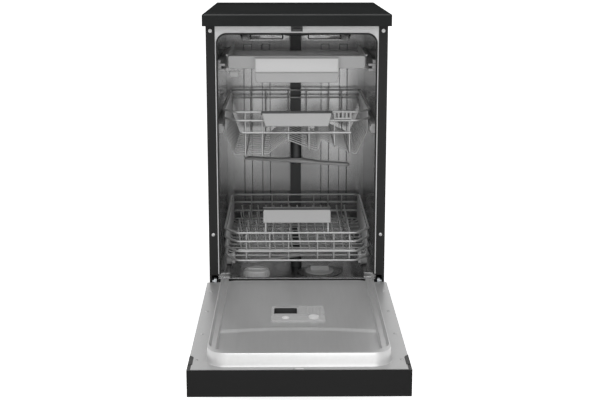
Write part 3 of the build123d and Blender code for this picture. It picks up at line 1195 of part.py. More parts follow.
WHEEL_Z = LEDGE_Z + WHEEL_RADIUS + SLIDE_GAP
WHEEL_INNER = TRACK_INNER - WHEEL_SIDE_GAP - WHEEL_FLANGE
WHEEL_OUTER = TRACK_INNER + WHEEL_TREAD
HANGER_X = (WHEEL_INNER - SLIDE_GAP - HANGER_THICKNESS, WHEEL_INNER - SLIDE_GAP)
HANGER_Z = (WHEEL_Z - HANGER_MARGIN, LOWER_FLOOR + HANGER_MARGIN)
WHEELS = {
    "front_left": (-1, (LOWER_CROSS[0] + LOWER_CROSS[1]) / 2),
    "front_right": (1, (LOWER_CROSS[0] + LOWER_CROSS[1]) / 2),
    "rear_left": (-1, (LOWER_CROSS[-2] + LOWER_CROSS[-1]) / 2),
    "rear_right": (1, (LOWER_CROSS[-2] + LOWER_CROSS[-1]) / 2),
}
with BuildPart() as wheel_hangers:
    for sign, y in WHEELS.values():
        reach = (LOWER_PITCH - BASKET_WIRE) / 2 - WIRE_CLEARANCE
        block(beside(sign, *HANGER_X), (y - reach, y + reach), HANGER_Z)
        rod_along_x(beside(sign, HANGER_X[1], WHEEL_OUTER), y, WHEEL_Z, AXLE_RADIUS)
wheel_hangers.part.label = "wheel_hangers"
export_step(wheel_hangers.part, "parts/wheel_hangers.step")

for place, (sign, y) in WHEELS.items():
    with BuildPart() as wheel:
        rod_along_x(beside(sign, WHEEL_INNER, WHEEL_OUTER), y, WHEEL_Z, WHEEL_RADIUS)
        rod_along_x(beside(sign, WHEEL_INNER, WHEEL_INNER + WHEEL_FLANGE), y, WHEEL_Z, WHEEL_FLANGE_RADIUS)
        bore = AXLE_RADIUS + PIN_CLEARANCE
        rod_along_x(beside(sign, WHEEL_INNER, WHEEL_OUTER), y, WHEEL_Z, bore, mode=Mode.SUBTRACT)
    wheel.part.label = f"wheel_{place}"
    export_step(wheel.part, f"parts/wheel_{place}.step")

# Upper rack
UPPER_RAIL_HEIGHTS = (UPPER_SECOND_RAIL, UPPER_TOP)
rails = [rail_loop(UPPER_FRONT, UPPER_BACK, z) for z in UPPER_RAIL_HEIGHTS]
front_rail = [(x, UPPER_FRONT, UPPER_FRONT_RAIL) for x in both(UPPER_FRONT_RAIL_HALF)]
rails.append(rod(*front_rail, RAIL_WIRE))
with BuildPart() as upper_rack_rails:
    add(rails)
upper_rack_rails.part.label = "upper_rack_rails"
export_step(upper_rack_rails.part, "parts/upper_rack_rails.step")

UPPER_CROSS = spaced(UPPER_FRONT + RACK_CORNER_Y + RACK_BEND / 2, UPPER_BACK - RACK_BEND, UPPER_PITCH)
basket = []
for y in UPPER_CROSS:
    floor = [(x, y, UPPER_FLOOR + rise) for x, rise in ZIGZAG]
    left = [(-BASKET_HALF, y, UPPER_TOP), (-BASKET_HALF, y, UPPER_SHOULDER)]
    right = [(BASKET_HALF, y, UPPER_SHOULDER), (BASKET_HALF, y, UPPER_TOP)]
    basket.append(wire(left + floor + right, BASKET_WIRE, ZIGZAG_BEND))
for x in UPPER_LONG_WIRES:
    height, slope = zigzag_height(x)
    z = height + BASKET_STEP * (1 + slope**2) ** 0.5
    hoop = [
        (x, UPPER_FRONT + NEST, UPPER_TOP),
        (x, UPPER_FRONT + NEST, z),
        (x, UPPER_BACK - NEST, z),
        (x, UPPER_BACK - NEST, UPPER_TOP),
    ]
    basket.append(wire(hoop, BASKET_WIRE, BASKET_BEND))
with BuildPart() as upper_rack_basket:
    add(basket)
upper_rack_basket.part.label = "upper_rack_basket"
export_step(upper_rack_basket.part, "parts/upper_rack_basket.step")

with BuildPart() as upper_runners:
    for sign in (-1, 1):
        strip = beside(sign, BASKET_HALF + BASKET_WIRE / 2 + SLIDE_GAP, RUNNER_OUTER)
        start = RAIL_START + SLIDE_GAP
        height = (RUNNER_Z - RUNNER_HEIGHT / 2, RUNNER_Z + RUNNER_HEIGHT / 2)
        block(strip, (start, start + RUNNER_LENGTH), height)
upper_runners.part.label = "upper_runners"
export_step(upper_runners.part, "parts/upper_runners.step")

with BuildPart() as upper_rack_handle:
    top = UPPER_TOP + RAIL_WIRE / 2
    rear = UPPER_FRONT + NEST - BASKET_WIRE / 2 - WIRE_CLEARANCE
    with BuildSketch(facing(rear)):
        half = UPPER_HANDLE_WIDTH / 2
        low = top - UPPER_HANDLE_HEIGHT
        with BuildLine():
            narrow = half - UPPER_HANDLE_TAPER
            Polyline((-half, top), (half, top), (narrow, low), (-narrow, low), close=True)
        make_face()
    extrude(amount=HANDLE_DEPTH)
    fillet(upper_rack_handle.faces().sort_by(Axis.Y)[0].edges(), HANDLE_ROUND)
    room = RAIL_WIRE / 2 + WIRE_CLEARANCE
    for z in UPPER_RAIL_HEIGHTS:
        block(both(half), (UPPER_FRONT - room, rear), (z - room, z + room), mode=Mode.SUBTRACT)
upper_rack_handle.part.label = "upper_rack_handle"
export_step(upper_rack_handle.part, "parts/upper_rack_handle.step")

# Cutlery tray
TRAY_CROSS = spaced(TRAY_FRONT + TRAY_PITCH / 2, TRAY_BACK - TRAY_PITCH / 2, TRAY_PITCH)
corners = [
    (TRAY_HALF, TRAY_BACK, TRAY_Z),
    (TRAY_HALF, TRAY_FRONT, TRAY_Z),
    (-TRAY_HALF, TRAY_FRONT, TRAY_Z),
    (-TRAY_HALF, TRAY_BACK, TRAY_Z),
]
grid = [wire(corners, TRAY_WIRE, TRAY_BEND, closed=True)]
grid += [rod((-TRAY_HALF, y, TRAY_Z), (TRAY_HALF, y, TRAY_Z), BASKET_WIRE) for y in TRAY_CROSS]
TRAY_WALL_HALF = TRAY_HALF - RAIL_WALL - BASKET_WIRE
TRAY_POST_FOOT = TRAY_Z + BASKET_WIRE / 2 + WELD_GAP
TRAY_RIM = TRAY_Z + TRAY_WALL
for x in both(TRAY_WALL_HALF):
    grid.append(rod((x, TRAY_CROSS[0], TRAY_RIM), (x, TRAY_CROSS[-1], TRAY_RIM), TINE_WIRE))
    grid += [rod((x, y, TRAY_POST_FOOT), (x, y, TRAY_RIM), BASKET_WIRE) for y in TRAY_CROSS[1:-1:2]]
with BuildPart() as tray_wires:
    add(grid)
tray_wires.part.label = "tray_wires"
export_step(tray_wires.part, "parts/tray_wires.step")

BAR_REAR = TRAY_FRONT - TRAY_WIRE / 2 - WIRE_CLEARANCE
BAR_FRONT = BAR_REAR - TRAY_BAR_DEPTH
BAR_Z = (TRAY_Z - TRAY_WIRE / 2, TRAY_Z - TRAY_WIRE / 2 + TRAY_BAR_HEIGHT)
with BuildPart() as tray_bar:
    block(both(TRAY_BAR_HALF), (BAR_FRONT, BAR_REAR), BAR_Z)
    fillet(tray_bar.edges().filter_by(Axis.Y), TRAY_BAR_CORNER)
    fillet(tray_bar.faces().sort_by(Axis.Y)[0].edges(), TRAY_ROUND)
tray_bar.part.label = "tray_bar"
export_step(tray_bar.part, "parts/tray_bar.step")

FACE_Z = (BAR_Z[0] - TRAY_FACE_DROP, BAR_Z[1] - TRAY_FACE_DROP / 2)
with BuildPart() as tray_handle:
    block(both(TRAY_HANDLE_HALF), (BAR_FRONT - TRAY_HANDLE_DEPTH, BAR_FRONT), FACE_Z)
    with BuildSketch(facing(BAR_FRONT)):
        half = TRAY_HANDLE_HALF
        bottom = FACE_Z[0] - TRAY_LIP_DROP
        with BuildLine():
            FilletPolyline(
                (-half, FACE_Z[0]),
                (-half + TRAY_LIP_TAPER, bottom),
                (half - TRAY_LIP_TAPER, bottom),
                (half, FACE_Z[0]),
                radius=TRAY_LIP_CORNER,
            )
            Line((half, FACE_Z[0]), (-half, FACE_Z[0]))
        make_face()
    extrude(amount=TRAY_LIP_DEPTH)
    fillet(tray_handle.faces().sort_by(Axis.Y)[0].edges(), TRAY_ROUND)
tray_handle.part.label = "tray_handle"
export_step(tray_handle.part, "parts/tray_handle.step")
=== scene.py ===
import json
import math

import bmesh
import bpy
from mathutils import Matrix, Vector
from mathutils.geometry import delaunay_2d_cdt


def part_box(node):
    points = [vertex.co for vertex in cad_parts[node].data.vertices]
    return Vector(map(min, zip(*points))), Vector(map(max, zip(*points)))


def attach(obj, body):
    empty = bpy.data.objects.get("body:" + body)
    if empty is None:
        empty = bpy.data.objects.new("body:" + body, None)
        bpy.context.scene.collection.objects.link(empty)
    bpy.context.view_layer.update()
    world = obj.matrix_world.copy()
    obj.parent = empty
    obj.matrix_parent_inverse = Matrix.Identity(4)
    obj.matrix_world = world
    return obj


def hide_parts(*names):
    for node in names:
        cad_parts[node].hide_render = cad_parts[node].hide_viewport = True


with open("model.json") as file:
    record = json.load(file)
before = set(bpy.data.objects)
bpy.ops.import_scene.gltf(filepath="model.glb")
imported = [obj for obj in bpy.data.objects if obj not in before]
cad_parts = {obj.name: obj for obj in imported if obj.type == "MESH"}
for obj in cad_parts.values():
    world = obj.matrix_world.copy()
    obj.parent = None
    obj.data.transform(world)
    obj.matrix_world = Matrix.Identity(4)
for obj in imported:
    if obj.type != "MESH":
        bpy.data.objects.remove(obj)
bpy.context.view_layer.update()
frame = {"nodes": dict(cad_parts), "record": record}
nodes = frame["nodes"]
MM = 0.001


def span(node):
    """A solid's lowest and highest corners, in millimetres."""
    return [[c / MM for c in corner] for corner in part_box(node)]


def middle(node):
    """The middle of a solid, in millimetres."""
    low, high = span(node)
    return [(a + b) / 2 for a, b in zip(low, high)]


# Places on the machine, in millimetres
(TUB_HALF, FRONT, _), (BODY_HALF, BACK, CABINET_TOP) = span("side_panel_right")
_, (_, TUB_BACK, TUB_TOP) = span("feed_pipe")
LEDGE_Z = span("tub_floor")[1][2]
ARM_Y = middle("ceiling_spray")[1]
SCREW_X = (TUB_HALF + BODY_HALF) / 2
JOINTS = frame["record"]["behaviour"]["joints"]
HINGE = next(joint for joint in JOINTS if joint["name"] == "door_hinge")
PIVOT_Y, PIVOT_Z = (c / MM for c in HINGE["pos_m"][1:])
TUB_CORNER = 28.0


# Materials
def linear(code):
    """A linear colour from its screen code."""
    parts = [int(code[i : i + 2], 16) / 255 for i in (0, 2, 4)]
    return [c / 12.92 if c <= 0.04045 else ((c + 0.055) / 1.055) ** 2.4 for c in parts] + [1.0]


def add_node(tree, kind, inputs=None, **settings):
    """A shader node with its settings, values and links."""
    made = tree.nodes.new(kind)
    for key, value in settings.items():
        setattr(made, key, value)
    for key, value in (inputs or {}).items():
        if isinstance(value, bpy.types.NodeSocket):
            tree.links.new(value, made.inputs[key])
        else:
            made.inputs[key].default_value = value
    return made


def spread(tree, source, low, high, start=0.3, end=0.7):
    """A pattern spread between two values."""
    inputs = {"Value": source, "From Min": start, "From Max": end, "To Min": low, "To Max": high}
    return add_node(tree, "ShaderNodeMapRange", inputs).outputs[0]


def surface(
    name, tones, rough, patch=5.0, grain=600.0, relief=0.05, stretch=(1, 1, 1), edge=0.6,
    cell=0.0, hole_shade_grid=0.0, **shader,
):
    """A material whose colour, roughness and relief vary, with its corners eased."""
    made = bpy.data.materials.new(name)
    made.use_nodes = True
    tree = made.node_tree
    tree.nodes.clear()
    place = add_node(tree, "ShaderNodeTexCoord").outputs["Object"]
    drawn = add_node(tree, "ShaderNodeMapping", {"Vector": place, "Scale": stretch}).outputs[0]
    coarse = {"Vector": place, "Scale": patch, "Detail": 5.0}
    fine = {"Vector": drawn, "Scale": grain, "Detail": 3.0}
    clouds = add_node(tree, "ShaderNodeTexNoise", coarse).outputs[0]
    grains = add_node(tree, "ShaderNodeTexNoise", fine).outputs[0]
    if cell:
        cells = add_node(tree, "ShaderNodeTexVoronoi", {"Vector": place, "Scale": cell}).outputs["Color"]
        clouds = add_node(tree, "ShaderNodeMath", {0: cells, 1: clouds}, operation="MULTIPLY").outputs[0]
    both = add_node(tree, "ShaderNodeMath", {0: clouds, 1: grains}, operation="ADD").outputs[0]
    half = add_node(tree, "ShaderNodeMath", {0: both, 1: 0.5}, operation="MULTIPLY").outputs[0]
    shade = half
    # Holes: a grid of dots in the first tone, painted shade for the dark seen through a pierced sheet
    if hole_shade_grid:
        grid = {"Vector": place, "Scale": hole_shade_grid, "Randomness": 0.0}
        holes = add_node(tree, "ShaderNodeTexVoronoi", grid, voronoi_dimensions="2D").outputs["Distance"]
        grains = spread(tree, holes, 0.0, 1.0, 0.27, 0.33)
        shade = grains
    ramp = add_node(tree, "ShaderNodeValToRGB", {"Fac": shade})
    ramp.color_ramp.elements[0].position = 0.35
    ramp.color_ramp.elements[1].position = 0.65
    ramp.color_ramp.elements[0].color = linear(tones[0])
    ramp.color_ramp.elements[1].color = linear(tones[1])
    eased = add_node(tree, "ShaderNodeBevel", {"Radius": edge * MM}, samples=4).outputs[0]
    bump = {"Height": grains, "Distance": relief * MM, "Strength": 0.6, "Normal": eased}
    inputs = {
        "Base Color": ramp.outputs["Color"],
        "Roughness": spread(tree, half, *rough),
        "Normal": add_node(tree, "ShaderNodeBump", bump).outputs[0],
        **shader,
    }
    body = add_node(tree, "ShaderNodeBsdfPrincipled", inputs)
    add_node(tree, "ShaderNodeOutputMaterial", {"Surface": body.outputs[0]})
    return made


DULL = {"Specular IOR Level": 0.12}
MATT = {"Specular IOR Level": 0.0}
STEEL = {"Metallic": 1.0}
UPRIGHT = {"grain": 160, "stretch": (1, 1, 0.05)}
LENGTHWAYS = {"grain": 160, "stretch": (1, 0.05, 1)}
worktop_black = surface(
    "worktop_laminate", ("2a2b2b", "323333"), (0.55, 0.65), grain=900, relief=0.1, **MATT
)
# Edge band: glossier than the worktop, and painted lighter as a painted highlight on its rounded edge
worktop_band_highlight = surface(
    "worktop_band_highlight", ("363737", "414242"), (0.3, 0.4), grain=900, relief=0.05, **DULL
)
cabinet_black = surface(
    "cabinet_enamel", ("242424", "2b2b2b"), (0.38, 0.48), grain=1400, relief=0.03, **DULL
)
fascia_black = surface(
    "fascia_gloss", ("161616", "1a1a1a"), (0.3, 0.38), grain=1800, relief=0.015, **DULL
)
display_glass = surface(
    "display_glass", ("0b0c0d", "141617"), (0.05, 0.09), relief=0.004, edge=0.3
)
tub_steel = surface(
    "tub_steel", ("8c8c8c", "949494"), (0.2, 0.25), relief=0.001, edge=3.0, **UPRIGHT, **STEEL
)
# Coves: a lighter copy of the tub's steel, a painted highlight near the ceiling
cove_painted_highlight = surface(
    "cove_painted_highlight", ("b4b4b4", "bcbcbc"), (0.16, 0.2), relief=0.001, edge=1.0, **LENGTHWAYS, **STEEL
)
liner_steel = surface(
    "liner_steel", ("c8c8c8", "cecece"), (0.3, 0.36), relief=0.002, **LENGTHWAYS, Metallic=0.6
)
# Liner flange: a darker copy of the liner's steel, painted shade on the same sheet
flange_painted_shade = surface(
    "flange_painted_shade", ("aeaeae", "b8b8b8"), (0.34, 0.42), grain=400, relief=0.004, Metallic=0.5
)
# Tub flange: near-white and not metallic, painted light on steel in the worktop's shade
mouth_painted_light = surface(
    "mouth_painted_light", ("e6e6e6", "eeeeee"), (0.4, 0.5), grain=400, relief=0.004, edge=0.05
)
screw_steel = surface(
    "screw_steel", ("9a9a9a", "b8b8b8"), (0.25, 0.4), grain=1500, relief=0.03, **STEEL
)
galvanised = surface(
    "galvanised_sheet", ("8f9294", "b3b6b8"), (0.35, 0.55), cell=70, relief=0.04, **STEEL
)
# Filter plate: steel whose holes are dark dots of painted shade
mesh_with_painted_hole_shade = surface(
    "mesh_with_painted_hole_shade", ("161616", "a9a9a9"), (0.25, 0.35), relief=0.4, hole_shade_grid=260, **STEEL
)
wire_coat = surface(
    "wire_coat", ("aaaaaa", "b8b8b8"), (0.28, 0.4), grain=700, relief=0.02, edge=0.3, Metallic=0.35
)
rubber = surface("gasket_rubber", ("242424", "2e2e2e"), (0.55, 0.7), grain=2200, relief=0.05)
grey_plastic = surface("grey_plastic", ("b0b0b0", "bababa"), (0.4, 0.5), grain=1600, relief=0.03)
pale_plastic = surface("pale_plastic", ("dcdcdc", "e4e4e4"), (0.38, 0.46), grain=1600, relief=0.02)
dark_plastic = surface("dark_plastic", ("2c2d2e", "383939"), (0.4, 0.55), grain=1500, relief=0.05)
cap_white = surface("cap_white", ("e2e2e2", "ececec"), (0.35, 0.45), grain=1500, relief=0.02)

FINISHES = {
    worktop_black: ["worktop"],
    cabinet_black: ["side_panel_left", "side_panel_right", "door_panel", "plinth"],
    fascia_black: ["control_fascia", "power_button", "program_button", "start_button"],
    display_glass: ["display_window"],
    tub_steel: ["tub_wrap", "tub_rear", "tub_floor"],
    liner_steel: ["door_liner"],
    screw_steel: ["flange_screws", "liner_screws"],
    galvanised: ["rear_panel", "base_tray", "hinge_arms", "hinge_brackets"],
    mesh_with_painted_hole_shade: ["filter_plate"],
    rubber: ["tub_gasket", "mains_gland"],
    wire_coat: [
        "lower_rack_rails", "lower_rack_basket", "lower_rack_tines", "folding_tines",
        "upper_rack_rails", "upper_rack_basket", "tray_wires",
    ],
    grey_plastic: [
        "lower_rack_handle", "upper_rack_handle", "tray_bar", "tray_handle", "wheel_hangers",
        "upper_runners", "upper_rails", "tray_rails",
        "wheel_front_left", "wheel_front_right", "wheel_rear_left", "wheel_rear_right",
        "dispenser_body", "dispenser_lid", "lower_spray_arm", "upper_spray_arm", "coarse_filter",
    ],
    pale_plastic: ["rinse_cap", "salt_cap", "door_latch"],
    dark_plastic: [
        "levelling_feet", "sump", "salt_tank", "circulation_pump", "drain_pump", "inlet_valve",
        "feed_pipe", "ceiling_spray", "upper_arm_feed", "door_strike",
    ],
}
for finish, names in FINISHES.items():
    for name in names:
        slots = nodes[name].data.materials
        slots.clear()
        slots.append(finish)


# Mesh helpers, in millimetres
def piece(name, bm, finish, body, slot, *stands_for):
    """A finished piece that rides on a body and may stand for some of its solids."""
    bmesh.ops.scale(bm, vec=(MM, MM, MM), verts=bm.verts)
    bmesh.ops.recalc_face_normals(bm, faces=bm.faces)
    bm.edges.index_update()
    rims = [edge.index for edge in bm.edges if edge.is_boundary]
    mesh = bpy.data.meshes.new(name)
    bm.to_mesh(mesh)
    bm.free()
    mesh.shade_smooth()
    mesh.set_sharp_from_angle(angle=math.radians(38))
    for index in rims:
        mesh.edges[index].use_edge_sharp = True
    mesh.materials.append(finish)
    made = bpy.data.objects.new(name, mesh)
    bpy.context.scene.collection.objects.link(made)
    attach(made, body)
    if stands_for:
        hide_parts(*stands_for)
    return made


def thicken(made, thickness, offset):
    """Give a sheet its thickness, to one side of it."""
    sheet = made.modifiers.new("sheet", "SOLIDIFY")
    sheet.thickness = thickness * MM
    sheet.offset = offset


def smooth(t):
    """An eased step from 0 to 1."""
    t = min(max(t, 0.0), 1.0)
    return t * t * (3 - 2 * t)


def rounded(half, start, end, radius, count=12, shift=0.0):
    """A rectangle with round corners, from start to end along its second axis."""
    points = []
    for cx, cy, turn in (
        (half - radius, end - radius, 0),
        (radius - half, end - radius, 90),
        (radius - half, start + radius, 180),
        (half - radius, start + radius, 270),
    ):
        for i in range(count + 1):
            angle = math.radians(turn + 90 * i / count)
            points.append((shift + cx + radius * math.cos(angle), cy + radius * math.sin(angle)))
    return points


def depth_in(x, y, half, start, end, radius):
    """How far a point lies inside such a rectangle."""
    qx = abs(x) - half + radius
    qy = abs(y - (start + end) / 2) - (end - start) / 2 + radius
    outside = math.hypot(max(qx, 0.0), max(qy, 0.0))
    return radius - outside - min(max(qx, qy), 0.0)


def shrunk(shape, by, shift=0.0):
    """A rounded rectangle moved inwards."""
    half, start, end, radius = shape
    return rounded(half - by, start + by, end - by, radius - by, shift=shift)


def ring(radius, centre=(0.0, 0.0), count=24):
    """A circle as a loop of points."""
    turns = [2 * math.pi * i / count for i in range(count)]
    return [(centre[0] + radius * math.cos(a), centre[1] + radius * math.sin(a)) for a in turns]


def relief(bm, loops, lines, keep, place):
    """A sheet whose triangles follow the loops and lines, kept where asked and put in place."""
    points = []
    edges = []
    for path, closed in [(loop, True) for loop in loops] + [(line, False) for line in lines]:
        first = len(points)
        points += [Vector(p) for p in path]
        edges += [(first + i, first + i + 1) for i in range(len(path) - 1)]
        if closed:
            edges.append((len(points) - 1, first))
    flat, _, faces, *_ = delaunay_2d_cdt(points, edges, [], 0, 1e-5)
    kept = [f for f in faces if keep(*(sum((flat[i] for i in f), Vector((0, 0))) / 3))]
    made = {i: bm.verts.new(place(*flat[i])) for i in sorted({i for f in kept for i in f})}
    for face in kept:
        bm.faces.new([made[i] for i in face])


def soft_box(bm, x, y, z, radius, segments=2):
    """A box with eased edges between two limits on each axis."""
    made = bmesh.ops.create_cube(bm, size=1.0)["verts"]
    for vert in made:
        vert.co = [limits[0] if c < 0 else limits[1] for c, limits in zip(vert.co, (x, y, z))]
    edges = list({edge for vert in made for edge in vert.link_edges})
    bmesh.ops.bevel(bm, geom=edges, offset=radius, segments=segments, affect="EDGES", profile=0.5)


def lathe(bm, profile, place, count=32, hollow=False):
    """A turned shape: each radius and height is put in place around the axis."""
    turns = [2 * math.pi * i / count for i in range(count)]
    rows = []
    for radius, height in profile:
        around = [(radius * math.cos(a), radius * math.sin(a)) for a in turns]
        rows.append([bm.verts.new(place(u, v, height)) for u, v in around])
    if hollow:
        rows.append(rows[0])
    else:
        bm.faces.new(rows[0])
        bm.faces.new(rows[-1])
    skin(bm, rows)


def turned(bm, before, turn, place):
    """Turn the points added since then about the height axis and put them in place."""
    for vert in set(bm.verts) - before:
        u, v, h = vert.co
        across = u * math.cos(turn) - v * math.sin(turn)
        vert.co = place(across, u * math.sin(turn) + v * math.cos(turn), h)


def skin(bm, rows):
    """Faces between closed rows of points, one after the other."""
    for low, high in zip(rows, rows[1:]):
        for i in range(len(low)):
            j = (i + 1) % len(low)
            bm.faces.new((low[i], low[j], high[j], high[i]))


def ball(bm, centre, radius, around=12, along=8):
    """A small sphere of rows between two poles."""
    x, y, z = centre
    rows = []
    for i in range(1, along):
        turn = math.pi * i / along
        height = z + radius * math.cos(turn)
        path = ring(radius * math.sin(turn), (x, y), around)
        rows.append([bm.verts.new((u, v, height)) for u, v in path])
    skin(bm, rows)
    for row, height in ((rows[0], z + radius), (rows[-1], z - radius)):
        pole = bm.verts.new((x, y, height))
        for i in range(around):
            bm.faces.new((row[i], row[(i + 1) % around], pole))


def mirrored(side, inner, outer):
    """The span between two distances from the centre plane, on one side of it."""
    return (inner, outer) if side > 0 else (-outer, -inner)


# Door liner: one pressed sheet with a rim, wheel tracks, two sunken panels and its openings
SHEET = 1.2
LINER_HALF = 223.6
LINER = (PIVOT_Y - span("door_liner")[1][1], PIVOT_Y - span("door_liner")[0][1])
EAR = (216.7, 597.7)
RIM = (189.5, 18.0, 612.0, 44.0)
TRACK = (184.0, -60.0, 592.0, 44.0)
PANEL = (170.4, -60.0, 586.9, 31.9)
FLANGE_T, TRACK_T, PANEL_T, WELL_T, RIM_T = 1.0, 17.5, 8.0, 3.0, 29.0
RIM_RUN, TRACK_RUN, PANEL_RUN, ARCH_RUN = 4.0, 3.0, 1.6, 22.0
ARCH_RISE, ARCH_START = 18.0, 396.0
ARCH_RADIUS = (PANEL[0] ** 2 + ARCH_RISE**2) / (2 * ARCH_RISE)
ARCH_CENTRE = ARCH_START - ARCH_RISE + ARCH_RADIUS
DISPENSER_HOLE = (58.3, 254.7, 344.3)
LATCH_HOLE = 12.5
SCREW_HOLE = 2.05
LINER_SCREWS = [(side * 209.0, along) for side in (-1, 1) for along in (90.0, 250.0, 410.0, 570.0)]


def liner_height(x, s):
    """The pressed sheet's height over the door's plane."""
    height = FLANGE_T + (RIM_T - FLANGE_T) * smooth(depth_in(x, s, *RIM) / RIM_RUN)
    step = smooth((ARCH_RADIUS - math.hypot(x, s - ARCH_CENTRE)) / ARCH_RUN)
    panel = PANEL_T + (WELL_T - PANEL_T) * step
    for level, shape, run in ((TRACK_T, TRACK, TRACK_RUN), (panel, PANEL, PANEL_RUN)):
        if height > level:
            height = level + (height - level) * (1 - smooth(depth_in(x, s, *shape) / run))
    return height


def on_liner(x, s):
    """A point of the pressed sheet, by its place on the door."""
    return (x, PIVOT_Y - s, PIVOT_Z + liner_height(x, s))


def liner_kept(x, s):
    """Whether the sheet is there, and not an opening."""
    if abs(x) > LINER_HALF or not LINER[0] < s < LINER[1] or (abs(x) > EAR[0] and s > EAR[1]):
        return False
    if abs(x) < DISPENSER_HOLE[0] and DISPENSER_HOLE[1] < s < DISPENSER_HOLE[2]:
        return False
    if math.hypot(x, s - LINER[1]) < LATCH_HOLE:
        return False
    return all(math.hypot(x - a, s - b) > SCREW_HOLE for a, b in LINER_SCREWS)


def arc_line(inset):
    """The arched step between the two panels, moved into the lower one."""
    radius = ARCH_RADIUS - inset
    reach = math.asin((PANEL[0] + PANEL_RUN) / radius)
    turns = [reach * (i / 16 - 1) for i in range(33)]
    return [(radius * math.sin(a), ARCH_CENTRE - radius * math.cos(a)) for a in turns]


def steps(run, count):
    """Even steps across a slope, from its start to its end."""
    return [run * i / count for i in range(count + 1)]


outline = [
    (-LINER_HALF, LINER[0]), (LINER_HALF, LINER[0]), (LINER_HALF, EAR[1]), (EAR[0], EAR[1]),
    (EAR[0], LINER[1]), (-EAR[0], LINER[1]), (-EAR[0], EAR[1]), (-LINER_HALF, EAR[1]),
]
loops = [outline]
loops += [shrunk(RIM, by) for by in steps(RIM_RUN, 6)]
loops += [shrunk(TRACK, by) for by in steps(TRACK_RUN, 4)]
loops += [shrunk(PANEL, by) for by in steps(PANEL_RUN, 5)]
half, start, end = DISPENSER_HOLE
loops.append([(-half, start), (half, start), (half, end), (-half, end)])
loops.append(ring(LATCH_HOLE, (0.0, LINER[1]), 32))
loops += [ring(SCREW_HOLE, centre, 10) for centre in LINER_SCREWS]
liner = bmesh.new()
arches = [arc_line(inset) for inset in steps(ARCH_RUN, 6)]
relief(liner, loops, arches, liner_kept, on_liner)
liner = piece("liner_pressing", liner, liner_steel, "door", "tub_steel", "door_liner")
# The flat flange outside the rim takes the darker copy, as painted shade
liner.data.materials.append(flange_painted_shade)
for polygon in liner.data.polygons:
    x, y, _ = polygon.center / MM
    polygon.material_index = int(depth_in(x, PIVOT_Y - y, *RIM) < 0)
thicken(liner, SHEET, -1.0)

# Ends of the fascia that wrap over the liner's edges
CHEEK = [(223.9, 545.0), (223.9, 599.0), (215.0, 599.0), (215.0, 557.0), (217.5, 551.0)]
CHEEK_RISE, CHEEK_SUNK = 0.7, 0.05
CHEEK_TOP = PIVOT_Z + FLANGE_T + CHEEK_RISE
cheeks = bmesh.new()
for side in (-1, 1):
    shape = [(side * x, s) for x, s in CHEEK]
    relief(cheeks, [shape], [], lambda x, s: True, lambda x, s: (x, PIVOT_Y - s, CHEEK_TOP))
cheeks = piece("fascia_cheeks", cheeks, fascia_black, "door", "fascia_black")
thicken(cheeks, CHEEK_RISE + CHEEK_SUNK, -1.0)


# Gasket: a moulded seal with a bulb and a groove, swept around the tub's mouth
def mouth_path(inset):
    """Points around the tub's mouth from one ledge to the other, with their inward directions."""
    half, top, radius = TUB_HALF - inset, TUB_TOP - inset, TUB_CORNER - inset
    path = [((-half, LEDGE_Z), (1.0, 0.0))]
    for cx, turn in ((radius - half, 180.0), (half - radius, 90.0)):
        for i in range(17):
            angle = math.radians(turn - 90.0 * i / 16)
            out = (math.cos(angle), math.sin(angle))
            path.append(((cx + radius * out[0], top - radius + radius * out[1]), (-out[0], -out[1])))
    path.append(((half, LEDGE_Z), (-1.0, 0.0)))
    return path


GASKET_SEAT = 0.2
GASKET_PROFILE = [
    (2.0, 12.0), (2.0, 0.4), (2.3, -0.7), (2.9, -1.4), (3.6, -0.9), (3.9, 0.4), (4.2, -0.7),
    (4.9, -1.4), (5.7, -0.6), (6.2, 1.0), (5.8, 2.8), (4.9, 4.4), (5.6, 6.0), (5.2, 8.0), (4.4, 12.0),
]
gasket = bmesh.new()
rows = []
for (x, z), (nx, nz) in mouth_path(GASKET_SEAT):
    rows.append([gasket.verts.new((x + nx * u, FRONT + v, z + nz * u)) for u, v in GASKET_PROFILE])
skin(gasket, rows)
gasket.faces.new(rows[0])
gasket.faces.new(rows[-1])
piece("gasket_seal", gasket, rubber, "cabinet", "gasket_rubber", "tub_gasket")

# Tub flange: the face around the mouth, between the seal and the cabinet's edges, painted near-white and
# not metallic as painted light on steel in the worktop's shade
FLANGE_SHEET = 0.15
FLANGE_HALF = TUB_HALF + 0.1
FLANGE_LIP = 2.8
MOUTH_INSET = GASKET_SEAT + FLANGE_LIP - 0.1
mouth = [(x + nx * FLANGE_LIP, z + nz * FLANGE_LIP) for (x, z), (nx, nz) in mouth_path(GASKET_SEAT)]
mouth_shape = (TUB_HALF - MOUTH_INSET, -TUB_TOP, TUB_TOP - MOUTH_INSET, TUB_CORNER - MOUTH_INSET)
flange = bmesh.new()
flange_y = span("tub_wrap")[0][1] - FLANGE_SHEET / 2
corners = [
    (FLANGE_HALF, LEDGE_Z), (FLANGE_HALF, CABINET_TOP),
    (-FLANGE_HALF, CABINET_TOP), (-FLANGE_HALF, LEDGE_Z),
]
relief(
    flange,
    [mouth + corners],
    [],
    lambda x, z: depth_in(x, z, *mouth_shape) < 0.05,
    lambda x, z: (x, flange_y, z),
)
flange = piece("tub_flange_face", flange, mouth_painted_light, "cabinet", "tub_steel")
thicken(flange, FLANGE_SHEET, 0.0)

# Coves between the tub's back wall and ceiling, beside the feed pipe, each with a pressed pad; their
# steel is a lighter copy of the tub's, as a painted highlight
COVE_INNER, COVE_OUTER = 18.0, 166.0
COVE_RADIUS, COVE_BLEND = 60.0, 18.0
COVE_RUN = COVE_RADIUS * math.pi / 2
COVE_PAD = (48.0, 3.0, 20.0, 7.0)
PAD_X, PAD_PROUD, PAD_RUN = 82.0, 2.5, 4.0
COVE_SHEET, COVE_GAP = 0.8, 0.2


